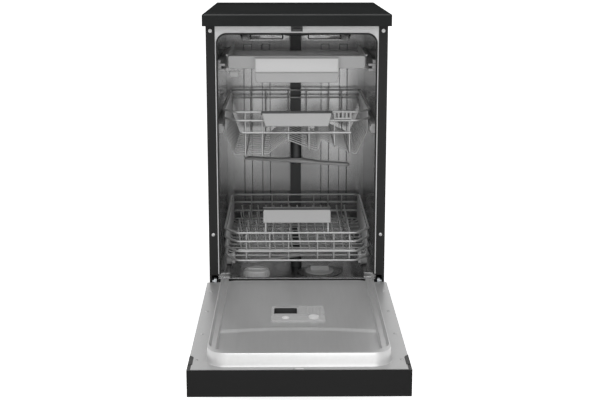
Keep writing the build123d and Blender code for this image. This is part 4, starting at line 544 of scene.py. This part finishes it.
def cove_place(x, t, side):
    """A point on the cove, by its distance from the centre plane and its way up from the wall."""
    radius = TUB_CORNER + (COVE_RADIUS - TUB_CORNER) * smooth((COVE_OUTER - x) / COVE_BLEND)
    reach = radius - PAD_PROUD * smooth(depth_in(x - PAD_X, t, *COVE_PAD) / PAD_RUN)
    turn = t / COVE_RADIUS
    return (
        side * x,
        TUB_BACK - COVE_GAP - radius + reach * math.cos(turn),
        TUB_TOP - COVE_GAP - radius + reach * math.sin(turn),
    )


cove_edge = [(COVE_INNER, 0.0), (COVE_OUTER, 0.0), (COVE_OUTER, COVE_RUN), (COVE_INNER, COVE_RUN)]
cove_lines = [[(COVE_INNER, t), (COVE_OUTER, t)] for t in steps(COVE_RUN, 20)[1:-1]]
for x in (COVE_OUTER - by for by in steps(COVE_BLEND, 6)[1:]):
    cove_lines.append([(x, 0.0), (x, COVE_RUN)])
coves = bmesh.new()
for side in (-1, 1):
    relief(
        coves,
        [cove_edge] + [shrunk(COVE_PAD, by, PAD_X) for by in steps(PAD_RUN, 4)],
        cove_lines,
        lambda x, t: True,
        lambda x, t, side=side: cove_place(x, t, side),
    )
thicken(piece("tub_coves", coves, cove_painted_highlight, "cabinet", "tub_steel"), COVE_SHEET, 0.0)

# Worktop: an edge band along its rounded front, painted lighter than the worktop as a painted highlight
# on the edge
WORKTOP_ROUND, BAND_PROUD = 3.0, 0.04
BAND_INSET, BAND_BACK, BAND_SUNK, BAND_FRONT = 4.5, 6.0, 0.02, 0.03
BAND_STEPS = 8
(top_left, top_front, _), (top_right, _, top_high) = span("worktop")
section = [(top_front + BAND_BACK, top_high - BAND_SUNK)]
for i in range(BAND_STEPS + 1):
    turn = math.pi / 2 * i / BAND_STEPS
    y = top_front + WORKTOP_ROUND - (WORKTOP_ROUND + BAND_PROUD) * math.sin(turn)
    z = top_high - WORKTOP_ROUND + (WORKTOP_ROUND + BAND_PROUD) * math.cos(turn)
    section.append((max(y, top_front - BAND_FRONT), min(z, top_high)))
band = bmesh.new()
rows = []
for x in (top_left + BAND_INSET, top_right - BAND_INSET):
    rows.append([band.verts.new((x, y, z)) for y, z in section])
for i in range(len(section) - 1):
    band.faces.new((rows[0][i], rows[0][i + 1], rows[1][i + 1], rows[1][i]))
piece("worktop_edge", band, worktop_band_highlight, "cabinet", "worktop_black")

# Screws with domed, cross-slotted heads
SLOT_LONG, SLOT_WIDE, SLOT_DEEP = 2.3, 0.5, 1.0
SLOT_EASE, SLOT_WALL = 0.08, 0.1
HEAD_RADIUS, HEAD_HEIGHT = 4.2, 1.4
HEAD_RINGS = (HEAD_RADIUS, 3.9, 3.4)
CROSS = [
    (SLOT_WIDE, SLOT_LONG), (SLOT_WIDE, SLOT_WIDE), (SLOT_LONG, SLOT_WIDE), (SLOT_LONG, -SLOT_WIDE),
    (SLOT_WIDE, -SLOT_WIDE), (SLOT_WIDE, -SLOT_LONG), (-SLOT_WIDE, -SLOT_LONG), (-SLOT_WIDE, -SLOT_WIDE),
    (-SLOT_LONG, -SLOT_WIDE), (-SLOT_LONG, SLOT_WIDE), (-SLOT_WIDE, SLOT_WIDE), (-SLOT_WIDE, SLOT_LONG),
]


def head_height(x, y):
    """The height of a domed head at a point, less its cross slot."""
    dome = HEAD_HEIGHT * math.sqrt(max(0.0, 1 - (math.hypot(x, y) / (HEAD_RADIUS + 0.05)) ** 2))
    long, wide = SLOT_LONG - SLOT_EASE, SLOT_WIDE - SLOT_EASE
    sunk = (abs(x) < long and abs(y) < wide) or (abs(y) < long and abs(x) < wide)
    return dome - (SLOT_DEEP if sunk else 0.0)


def screw(bm, place):
    """A domed head with a cross slot, put in place with its height along the last axis."""
    inner = [[c - math.copysign(SLOT_WALL, c) for c in point] for point in CROSS]
    relief(
        bm,
        [ring(radius, count=20) for radius in HEAD_RINGS] + [CROSS, inner],
        [],
        lambda x, y: math.hypot(x, y) < HEAD_RADIUS,
        lambda x, y: place(x, y, head_height(x, y)),
    )


FLANGE_SCREW_Z = LEDGE_Z + 102.0
CAP_Z = TUB_TOP + 3.0
CAP_DOME = [(4.6, 0.0), (4.6, 0.5), (4.2, 0.9), (3.2, 1.2), (1.6, 1.35), (0.3, 1.4)]
flange_heads = bmesh.new()
flange_caps = bmesh.new()
for x in (-SCREW_X, SCREW_X):
    screw(flange_heads, lambda u, v, h, x=x: (x + u, FRONT - h, FLANGE_SCREW_Z + v))
    lathe(flange_caps, CAP_DOME, lambda u, v, h, x=x: (x + u, FRONT - h, CAP_Z + v), 20)
piece("flange_screw_heads", flange_heads, screw_steel, "cabinet", "galvanised", "flange_screws")
piece("flange_caps", flange_caps, cap_white, "cabinet", "pale_plastic")
liner_heads = bmesh.new()
for x, along in LINER_SCREWS:
    y, z = PIVOT_Y - along, PIVOT_Z + FLANGE_T
    screw(liner_heads, lambda u, v, h, x=x, y=y, z=z: (x + u, y + v, z + h))
piece("liner_screw_heads", liner_heads, screw_steel, "door", "galvanised", "liner_screws")

# Back: a pressed sheet with a sunken field, three beads and its screws
REAR_FIELD = (178.0, 185.0, 775.0, 45.0)
REAR_BEAD = (15.0, 240.0, 720.0, 15.0)
REAR_BEADS = (-95.0, 0.0, 95.0)
REAR_SINK, REAR_RUN = 5.0, 7.0
REAR_SCREWS = [(x, z) for x in (-198.0, 0.0, 198.0) for z in (160.0, 798.0)]
REAR_SCREWS += [(x, z) for x in (-198.0, 198.0) for z in (370.0, 590.0)]
(_, _, rear_low), (REAR_HALF, REAR_Y, rear_high) = span("rear_panel")


def rear_depth(x, z):
    """How far the back sheet is pressed in."""
    depth = REAR_SINK * smooth(depth_in(x, z, *REAR_FIELD) / REAR_RUN)
    bead = max(smooth(depth_in(x - at, z, *REAR_BEAD) / REAR_RUN) for at in REAR_BEADS)
    return depth * (1 - bead)


rear_edge = [
    (-REAR_HALF, rear_low), (REAR_HALF, rear_low), (REAR_HALF, rear_high), (-REAR_HALF, rear_high),
]
loops = [rear_edge] + [shrunk(REAR_FIELD, by) for by in steps(REAR_RUN, 5)]
loops += [shrunk(REAR_BEAD, by, at) for at in REAR_BEADS for by in steps(REAR_RUN, 5)]
rear = bmesh.new()
relief(rear, loops, [], lambda x, z: True, lambda x, z: (x, REAR_Y - rear_depth(x, z), z))
rear = piece("rear_pressing", rear, galvanised, "cabinet", "galvanised", "rear_panel")
thicken(rear, SHEET, 1.0)
rear_heads = bmesh.new()
for x, z in REAR_SCREWS:
    screw(rear_heads, lambda u, v, h, x=x, z=z: (x + u, REAR_Y + h, z + v))
piece("rear_screws", rear_heads, screw_steel, "cabinet", "galvanised")

# Rack wheels: flanged rollers with a sunk web, six ribs and a hub cap
WHEEL_PROFILE = [
    (4.6, 0.6), (5.4, 0.0), (6.8, 0.0), (7.4, 1.8), (14.4, 1.8), (14.9, 0.0), (17.4, 0.0),
    (18.0, 0.6), (18.0, 1.9), (17.4, 2.5), (15.0, 2.9), (14.5, 3.6), (14.5, 14.4), (14.1, 15.4),
    (13.2, 15.5), (12.6, 13.6), (7.4, 13.6), (6.8, 15.5), (5.0, 15.5),
]
SPOKES = 6
SPOKE = ((6.6, 15.0), (-0.9, 0.9), (0.5, 2.2), 0.35, 1)
for name in ("wheel_front_left", "wheel_front_right", "wheel_rear_left", "wheel_rear_right"):
    _, y, z = middle(name)
    side = 1 if name.endswith("right") else -1
    inner = min(abs(corner[0]) for corner in span(name))

    def on_axle(u, v, h, side=side, inner=inner, y=y, z=z):
        """A point by its place around the axle and its distance from the wheel's inner face."""
        return (side * (inner + h), y + u, z + v)

    wheel = bmesh.new()
    lathe(wheel, WHEEL_PROFILE, on_axle, 40)
    for i in range(SPOKES):
        before = set(wheel.verts)
        soft_box(wheel, *SPOKE)
        turned(wheel, before, 2 * math.pi * i / SPOKES, on_axle)
    piece(name.replace("wheel", "roller"), wheel, grey_plastic, name, "grey_plastic", name)

# Spray arms: mouldings with a wide hub, tapered ends and a row of jets
ARM_REACH = 148.0
ARM_HUB, ARM_WAIST = 17.0, 13.0
ARM_STEPS, ARM_SIDES, ARM_SQUARE = 28, 24, 0.75
ARM_NECK, ARM_FALL, ARM_TIP_DEPTH = (15.0, 50.0), (20.0, 70.0), 0.72
JETS = (75.5, 99.5, 123.5, -87.5, -111.5, -135.5)
JET_PROFILE = [(4.0, -0.8), (3.4, 0.7), (2.7, 1.0), (1.8, 0.9), (1.5, -0.9), (0.2, -1.0)]


def arm_half(s):
    """Half the arm's width at a distance from its hub."""
    start, end = ARM_NECK
    half = ARM_WAIST + (ARM_HUB - ARM_WAIST) * smooth((end - abs(s)) / (end - start))
    past = max(0.0, (abs(s) - ARM_REACH + ARM_WAIST) / ARM_WAIST)
    return half * math.sqrt(max(0.0, 1 - past * past))


def arm_depth(s):
    """The arm's depth at a distance from its hub, as a part of its full depth."""
    start, end = ARM_FALL
    return ARM_TIP_DEPTH + (1 - ARM_TIP_DEPTH) * smooth((end - abs(s)) / (end - start))


def squared(c):
    """A sine or cosine swollen towards a square section."""
    return math.copysign(abs(c) ** ARM_SQUARE, c)


# Each arm with its turn in degrees and the radius of its hub's bore
ARMS = (("lower_spray_arm", 28.0, 10.4), ("upper_spray_arm", -20.0, 14.6))
for name, degrees, bore in ARMS:
    low, high = span(name)[0][2], span(name)[1][2]
    cos_turn, sin_turn = math.cos(math.radians(degrees)), math.sin(math.radians(degrees))

    def on_arm(s, t, z):
        """A point by its distances along and across the arm."""
        return (s * cos_turn - t * sin_turn, ARM_Y + s * sin_turn + t * cos_turn, z)

    arm = bmesh.new()
    rows = []
    for i in range(-ARM_STEPS, ARM_STEPS + 1):
        s = 0.999 * ARM_REACH * math.sin(math.pi / 2 * i / ARM_STEPS)
        half = arm_half(s)
        thick = (high - low) / 2 * arm_depth(s) * min(half / ARM_WAIST, 1.0) ** 0.5
        row = []
        for j in range(ARM_SIDES):
            angle = 2 * math.pi * j / ARM_SIDES
            t, h = squared(math.cos(angle)), squared(math.sin(angle))
            row.append(arm.verts.new(on_arm(s, half * t, low + thick + thick * h)))
        rows.append(row)
    skin(arm, rows)
    arm.faces.new(rows[0])
    arm.faces.new(rows[-1])
    for s in JETS:
        top = low + (high - low) * arm_depth(s)
        lathe(arm, JET_PROFILE, lambda u, v, h, s=s, top=top: on_arm(s + u, v, top + h), 16)
    hub = [(bore, -0.6), (bore, 1.6), (bore + 1, 2.2), (19.0, 1.8), (20.5, -0.6)]
    lathe(arm, hub, lambda u, v, h: (u, ARM_Y + v, high + h), 40, hollow=True)
    piece(name.replace("spray_arm", "arm_moulding"), arm, grey_plastic, name, "grey_plastic", name)

# Rounded ends on the tines
tine_low, tine_high = span("lower_rack_tines")
TINE_PITCH, TINE_COUNT = 22.0, 14
TIP_RADIUS, TIP_SUNK, TINE_LEAN = 2.1, 0.6, 7.8
TINE_FIRST = -TINE_PITCH * (TINE_COUNT - 1) / 2
FIXED_ROWS = (150.5, 330.5, 415.5)
for name, body, rows in (
    ("tine_tips", "lower_rack", FIXED_ROWS),
    ("folding_tips", "folding_tines", (middle("folding_tines")[1],)),
):
    tips = bmesh.new()
    for y in rows:
        for i in range(TINE_COUNT):
            x = TINE_FIRST + TINE_PITCH * i - TINE_LEAN
            ball(tips, (x, y, tine_high[2] - TIP_SUNK), TIP_RADIUS)
    piece(name, tips, wire_coat, body, "rack_wire")

# Clips that hold the folding row's base wire on the basket
FOLD_CLIPS = (-127.0, -21.0, 132.0)
CLIP_HALF, FOOT_HALF = 3.2, 2.4
fold_y = middle("folding_tines")[1]
fold_z = tine_low[2] + 2.0
clip_y, clip_z = (fold_y - 4.6, fold_y + 4.6), (fold_z - 6.5, fold_z + 3.6)
foot_y, foot_z = (fold_y + 4.0, fold_y + 9.0), (fold_z - 6.0, fold_z - 2.4)
clips = bmesh.new()
for x in FOLD_CLIPS:
    soft_box(clips, (x - CLIP_HALF, x + CLIP_HALF), clip_y, clip_z, 1.6, 3)
    soft_box(clips, (x - FOOT_HALF, x + FOOT_HALF), foot_y, foot_z, 0.8, 2)
piece("fold_clips", clips, grey_plastic, "lower_rack", "grey_plastic")

# Dark trim along the tops of the rack handles
TRIM_PROUD, TAB_INSET, TAB_HALF = 0.3, 1.2, 1.5
for rack in ("lower_rack", "upper_rack"):
    (x0, y0, _), (x1, _, z1) = span(f"{rack}_handle")
    trim_x, trim_y = (x0 - TRIM_PROUD, x1 + TRIM_PROUD), (y0 - TRIM_PROUD, y0 + 7.2)
    tab_y, tab_z = (y0 + 0.4, y0 + 6.0), (z1 - 8.5, z1 - 3.0)
    trim = bmesh.new()
    soft_box(trim, trim_x, trim_y, (z1 - 5.0, z1 + 0.4), 1.1, 3)
    for x in (x0 + TAB_INSET, x1 - TAB_INSET):
        soft_box(trim, (x - TAB_HALF, x + TAB_HALF), tab_y, tab_z, 0.9, 2)
    piece(f"{rack}_handle_trim", trim, dark_plastic, rack, "dark_plastic")

# Slotted clip beside the upper rack's handle
SLATS, SLAT = 5, 4.0
(_, upper_y, _), (upper_x, _, upper_z) = span("upper_rack_handle")
clip_x = (upper_x + 4.0, upper_x + 47.0)
clip_y = (upper_y + 5.5, upper_y + 15.5)
clip_z = (upper_z - 20.0, upper_z + 0.5)
slat_y = (clip_y[0] + 0.6, clip_y[1] - 0.6)
slat_z = (clip_z[0] + SLAT / 2, clip_z[1] - SLAT / 2)
clip = bmesh.new()
soft_box(clip, clip_x, clip_y, (clip_z[1] - SLAT, clip_z[1]), 1.3)
soft_box(clip, clip_x, clip_y, (clip_z[0], clip_z[0] + SLAT), 1.3)
for i in range(SLATS):
    x = clip_x[0] + (clip_x[1] - clip_x[0] - SLAT) * i / (SLATS - 1)
    soft_box(clip, (x, x + SLAT), slat_y, slat_z, 0.9)
piece("upper_rack_clip", clip, grey_plastic, "upper_rack", "grey_plastic")

# Cutlery tray: a pale face plate on the handle and a catch under the bar's left end
(x0, _, _), (x1, _, z1) = span("tray_handle")
(bar_left, bar_y, bar_low), _ = span("tray_bar")
face = bmesh.new()
face_low, face_high = bar_low - 7.0, z1 - 2.0
soft_box(face, (x0 + 2.5, x1 - 2.5), (bar_y - 10.6, bar_y - 9.0), (face_low, face_high), 0.5, 2)
bead_y, bead_z = (bar_y - 11.0, bar_y - 10.0), (face_low + 2.5, face_high - 2.5)
for x in (x0 + 4.5, x1 - 4.5):
    soft_box(face, (x - 0.8, x + 0.8), bead_y, bead_z, 0.35, 2)
piece("tray_face", face, pale_plastic, "cutlery_tray", "pale_plastic")
CATCH_BOXES = [
    ((3.0, 25.0), (1.0, 10.0), (-21.0, -8.0), 2.0, 3),
    ((1.0, 29.0), (2.0, 9.0), (-10.5, -6.5), 1.2, 3),
    ((6.0, 10.0), (3.0, 8.0), (-8.0, 1.0), 0.8, 2),
    ((18.0, 22.0), (3.0, 8.0), (-8.0, 1.0), 0.8, 2),
]
catch = bmesh.new()
for *limits, radius, segments in CATCH_BOXES:
    x, y, z = ([c + start for c in pair] for pair, start in zip(limits, (bar_left, bar_y, bar_low)))
    soft_box(catch, x, y, z, radius, segments)
piece("tray_catch", catch, grey_plastic, "cutlery_tray", "grey_plastic")

# Rail ends: moulded mouths on the tray's rails, left open for its wires
(_, rail_y, rail_low), (_, _, rail_high) = span("tray_rails")
LIP_X, BACK_X, STOP_X = (175.0, TUB_HALF - 0.3), (185.5, TUB_HALF - 0.3), (186.0, 194.0)
lip_y = (rail_y - 5.0, rail_y + 9.0)
back_y, back_z = (rail_y - 3.0, rail_y + 8.0), (rail_low + 2.0, rail_high - 2.0)
stop_y, stop_z = (rail_y - 2.0, rail_y + 30.0), (rail_high, rail_high + 10.0)
mouths = bmesh.new()
for side in (-1, 1):
    lip_x = mirrored(side, *LIP_X)
    soft_box(mouths, lip_x, lip_y, (rail_high - 4.4, rail_high + 1.2), 1.4, 2)
    soft_box(mouths, lip_x, lip_y, (rail_low - 1.2, rail_low + 4.4), 1.4, 2)
    soft_box(mouths, mirrored(side, *BACK_X), back_y, back_z, 1.2, 2)
    soft_box(mouths, mirrored(side, *STOP_X), stop_y, stop_z, 2.5, 3)
piece("tray_rail_ends", mouths, grey_plastic, "cabinet", "grey_plastic")

# Salt cap: a knurled rim around it
cap_x, cap_y, _ = middle("salt_cap")
cap_low, cap_high = span("salt_cap")[0][2], span("salt_cap")[1][2]
CAP_RADIUS, CAP_RIBS = 33.0, 30
rib_out, rib_up = (CAP_RADIUS - 0.6, CAP_RADIUS + 1.2), (cap_low + 2.0, cap_high - 8.0)
knurl = bmesh.new()
for i in range(CAP_RIBS):
    before = set(knurl.verts)
    soft_box(knurl, rib_out, (-1.2, 1.2), rib_up, 0.5, 2)
    turned(knurl, before, 2 * math.pi * i / CAP_RIBS, lambda u, v, h: (cap_x + u, cap_y + v, h))
piece("salt_cap_knurl", knurl, pale_plastic, "salt_cap", "pale_plastic")

# Dispenser: a dark sheet inside the cup as painted shade, fins on the lid and a catch
CUP_X, CUP_Y, CUP_Z = (-53.7, -2.3), (-269.2, -217.8), 166.3
CUP_ROUND, CUP_SHEET = 6.0, 0.3
CUP_SECTION = [(25.6, 0.0), (5.0, 0.6), (1.6, 1.6), (0.3, 3.6), (0.0, 5.2)]
cup_half = (CUP_X[1] - CUP_X[0]) / 2
cup_middle = sum(CUP_X) / 2
# A thin dark sheet inside the cup, painted shade in its hollow
cup_shade = bmesh.new()
rows = []
for height, by in CUP_SECTION:
    radius = CUP_ROUND - min(by, 4.0)
    path = rounded(cup_half - by, CUP_Y[0] + by, CUP_Y[1] - by, radius, 6, cup_middle)
    rows.append([cup_shade.verts.new((x, y, CUP_Z + height)) for x, y in path])
skin(cup_shade, rows)
cup_shade.faces.new(rows[-1])
thicken(piece("cup_painted_shade", cup_shade, dark_plastic, "door", "dark_plastic"), CUP_SHEET, 1.0)
(lid_x, lid_y, _), (_, lid_end, lid_top) = span("dispenser_lid")
FIN_PITCH, FIN_HALF, FIN_INSET, FIN_DEEP = 8.0, 1.25, 8.0, 1.6
fin_y, fin_z = (lid_y + FIN_INSET, lid_end - FIN_INSET), (lid_top - FIN_DEEP, lid_top)
fins = bmesh.new()
for i in range(4, 7):
    x = lid_x + FIN_PITCH * i
    soft_box(fins, (x - FIN_HALF, x + FIN_HALF), fin_y, fin_z, 0.5, 2)
piece("lid_fins", fins, grey_plastic, "dispenser_lid", "grey_plastic")
CATCH_PROFILE = [
    (8.5, -0.5), (8.5, 0.8), (7.9, 1.3), (6.4, 1.4), (6.0, 0.9), (5.6, 2.6), (4.8, 3.1), (0.4, 3.3),
]
CATCH_X, CATCH_Y = -28.0, -289.0
face_top = span("rinse_cap")[1][2] - 4.0
catch = bmesh.new()
lathe(catch, CATCH_PROFILE, lambda u, v, h: (CATCH_X + u, CATCH_Y + v, face_top + h), 28)
piece("dispenser_catch", catch, pale_plastic, "door", "pale_plastic")

# Display: a row of small lamps in the glass
LAMPS, LAMP_INSET, LAMP_HALF = 5, 12.0, 3.0
(display_x, display_y, display_z), (display_end, display_back, _) = span("display_window")
lamp_middle = (display_y + display_back) / 2
lamp_y, lamp_z = (lamp_middle - 0.8, lamp_middle + 0.8), (display_z - 0.15, display_z + 0.4)
lamps = bmesh.new()
for i in range(LAMPS):
    x = display_x + LAMP_INSET + (display_end - display_x - 2 * LAMP_INSET) * i / (LAMPS - 1)
    soft_box(lamps, (x - LAMP_HALF, x + LAMP_HALF), lamp_y, lamp_z, 0.25, 2)
piece("display_lamps", lamps, cap_white, "door", "pale_plastic")

# Plugs in the cabinet's sides
PLUG = [(7.0, -0.3), (7.0, 0.4), (6.4, 0.9), (3.0, 1.2), (0.3, 1.3)]
PLUG_INSET = 45.0
plugs = bmesh.new()
for side in (-1, 1):
    for y in (FRONT + PLUG_INSET, BACK - PLUG_INSET):

        def on_side(u, v, h, side=side, y=y):
            """A point by its place on a side wall and its distance out from it."""
            return (side * (BODY_HALF + h), y + u, LEDGE_Z + v)

        lathe(plugs, PLUG, on_side, 24)
piece("side_plugs", plugs, cabinet_black, "cabinet", "cabinet_black")


# Floor, light and camera, in metres
FLOOR_HALF, FLOOR_FRONT, FLOOR_BACK = 12.0, -9.0, 3.0
BEND, BACKDROP_TOP = 1.5, 9.0
WHITE = (1.0, 1.0, 1.0, 1.0)


def stage_floor():
    """A wide pale floor that runs up into a backdrop behind the machine."""
    bm = bmesh.new()
    profile = [(FLOOR_FRONT, 0.0), (FLOOR_BACK, 0.0)]
    for angle in (0.3, 0.6, 0.9, 1.2, math.pi / 2):
        profile.append((FLOOR_BACK + BEND * math.sin(angle), BEND - BEND * math.cos(angle)))
    profile.append((FLOOR_BACK + BEND, BACKDROP_TOP))
    rows = [[bm.verts.new((x, y, z)) for x in (-FLOOR_HALF, FLOOR_HALF)] for y, z in profile]
    for low, high in zip(rows, rows[1:]):
        bm.faces.new((low[0], low[1], high[1], high[0]))
    mesh = bpy.data.meshes.new("floor")
    bm.to_mesh(mesh)
    bm.free()
    mesh.shade_smooth()
    return bpy.data.objects.new("floor", mesh)


def seen_rays(tree):
    """Where a ray comes from the camera, a reflection or glass."""
    rays = add_node(tree, "ShaderNodeLightPath").outputs
    inputs = {0: rays["Is Camera Ray"], 1: rays["Is Glossy Ray"]}
    seen = add_node(tree, "ShaderNodeMath", inputs, operation="MAXIMUM").outputs[0]
    inputs = {0: seen, 1: rays["Is Transmission Ray"]}
    return add_node(tree, "ShaderNodeMath", inputs, operation="MAXIMUM").outputs[0]


floor = stage_floor()
bpy.context.scene.collection.objects.link(floor)
paper = bpy.data.materials.new("paper")
paper.use_nodes = True
tree = paper.node_tree
tree.nodes.clear()
glow = add_node(tree, "ShaderNodeMath", {0: seen_rays(tree), 1: 0.85}, operation="MULTIPLY")
matt = add_node(tree, "ShaderNodeBsdfDiffuse", {"Color": (0.8, 0.8, 0.8, 1.0)})
white = add_node(tree, "ShaderNodeEmission", {"Color": WHITE, "Strength": glow.outputs[0]})
both = add_node(tree, "ShaderNodeAddShader", {0: matt.outputs[0], 1: white.outputs[0]})
add_node(tree, "ShaderNodeOutputMaterial", {"Surface": both.outputs[0]})
floor.data.materials.append(paper)

world = bpy.data.worlds.new("studio")
bpy.context.scene.world = world
world.use_nodes = True
tree = world.node_tree
tree.nodes.clear()
levels = {"Value": seen_rays(tree), "To Min": 0.42, "To Max": 1.0}
level = add_node(tree, "ShaderNodeMapRange", levels)
sky = add_node(tree, "ShaderNodeBackground", {"Color": WHITE, "Strength": level.outputs[0]})
add_node(tree, "ShaderNodeOutputWorld", {"Surface": sky.outputs[0]})

for name, place, aim, size, power in (
    ("key", (-0.9, -3.3, 1.45), (0.0, 0.1, 0.5), 1.6, 17.0),
    ("fill", (0.7, -3.2, 0.9), (0.0, 0.3, 0.5), 1.8, 16.0),
    ("top", (0.0, -0.6, 2.6), (0.0, -0.3, 0.0), 1.4, 20.0),
):
    lamp = bpy.data.lights.new(name, "AREA")
    lamp.size = size
    lamp.energy = power
    made = bpy.data.objects.new(name, lamp)
    made.location = place
    made.rotation_euler = (Vector(aim) - Vector(place)).to_track_quat("-Z", "Y").to_euler()
    bpy.context.scene.collection.objects.link(made)

lens = bpy.data.cameras.new("camera")
lens.sensor_width = 36.0
lens.sensor_fit = "HORIZONTAL"
lens.lens = 69.82
lens.clip_end = 50.0
camera = bpy.data.objects.new("camera", lens)
camera.location = (-0.0211, -2.7676, 1.0007)
camera.rotation_euler = (math.pi / 2 - 0.2146, 0.0, -0.01019)
bpy.context.scene.collection.objects.link(camera)
bpy.context.scene.camera = camera
bpy.context.scene.view_settings.view_transform = "Standard"
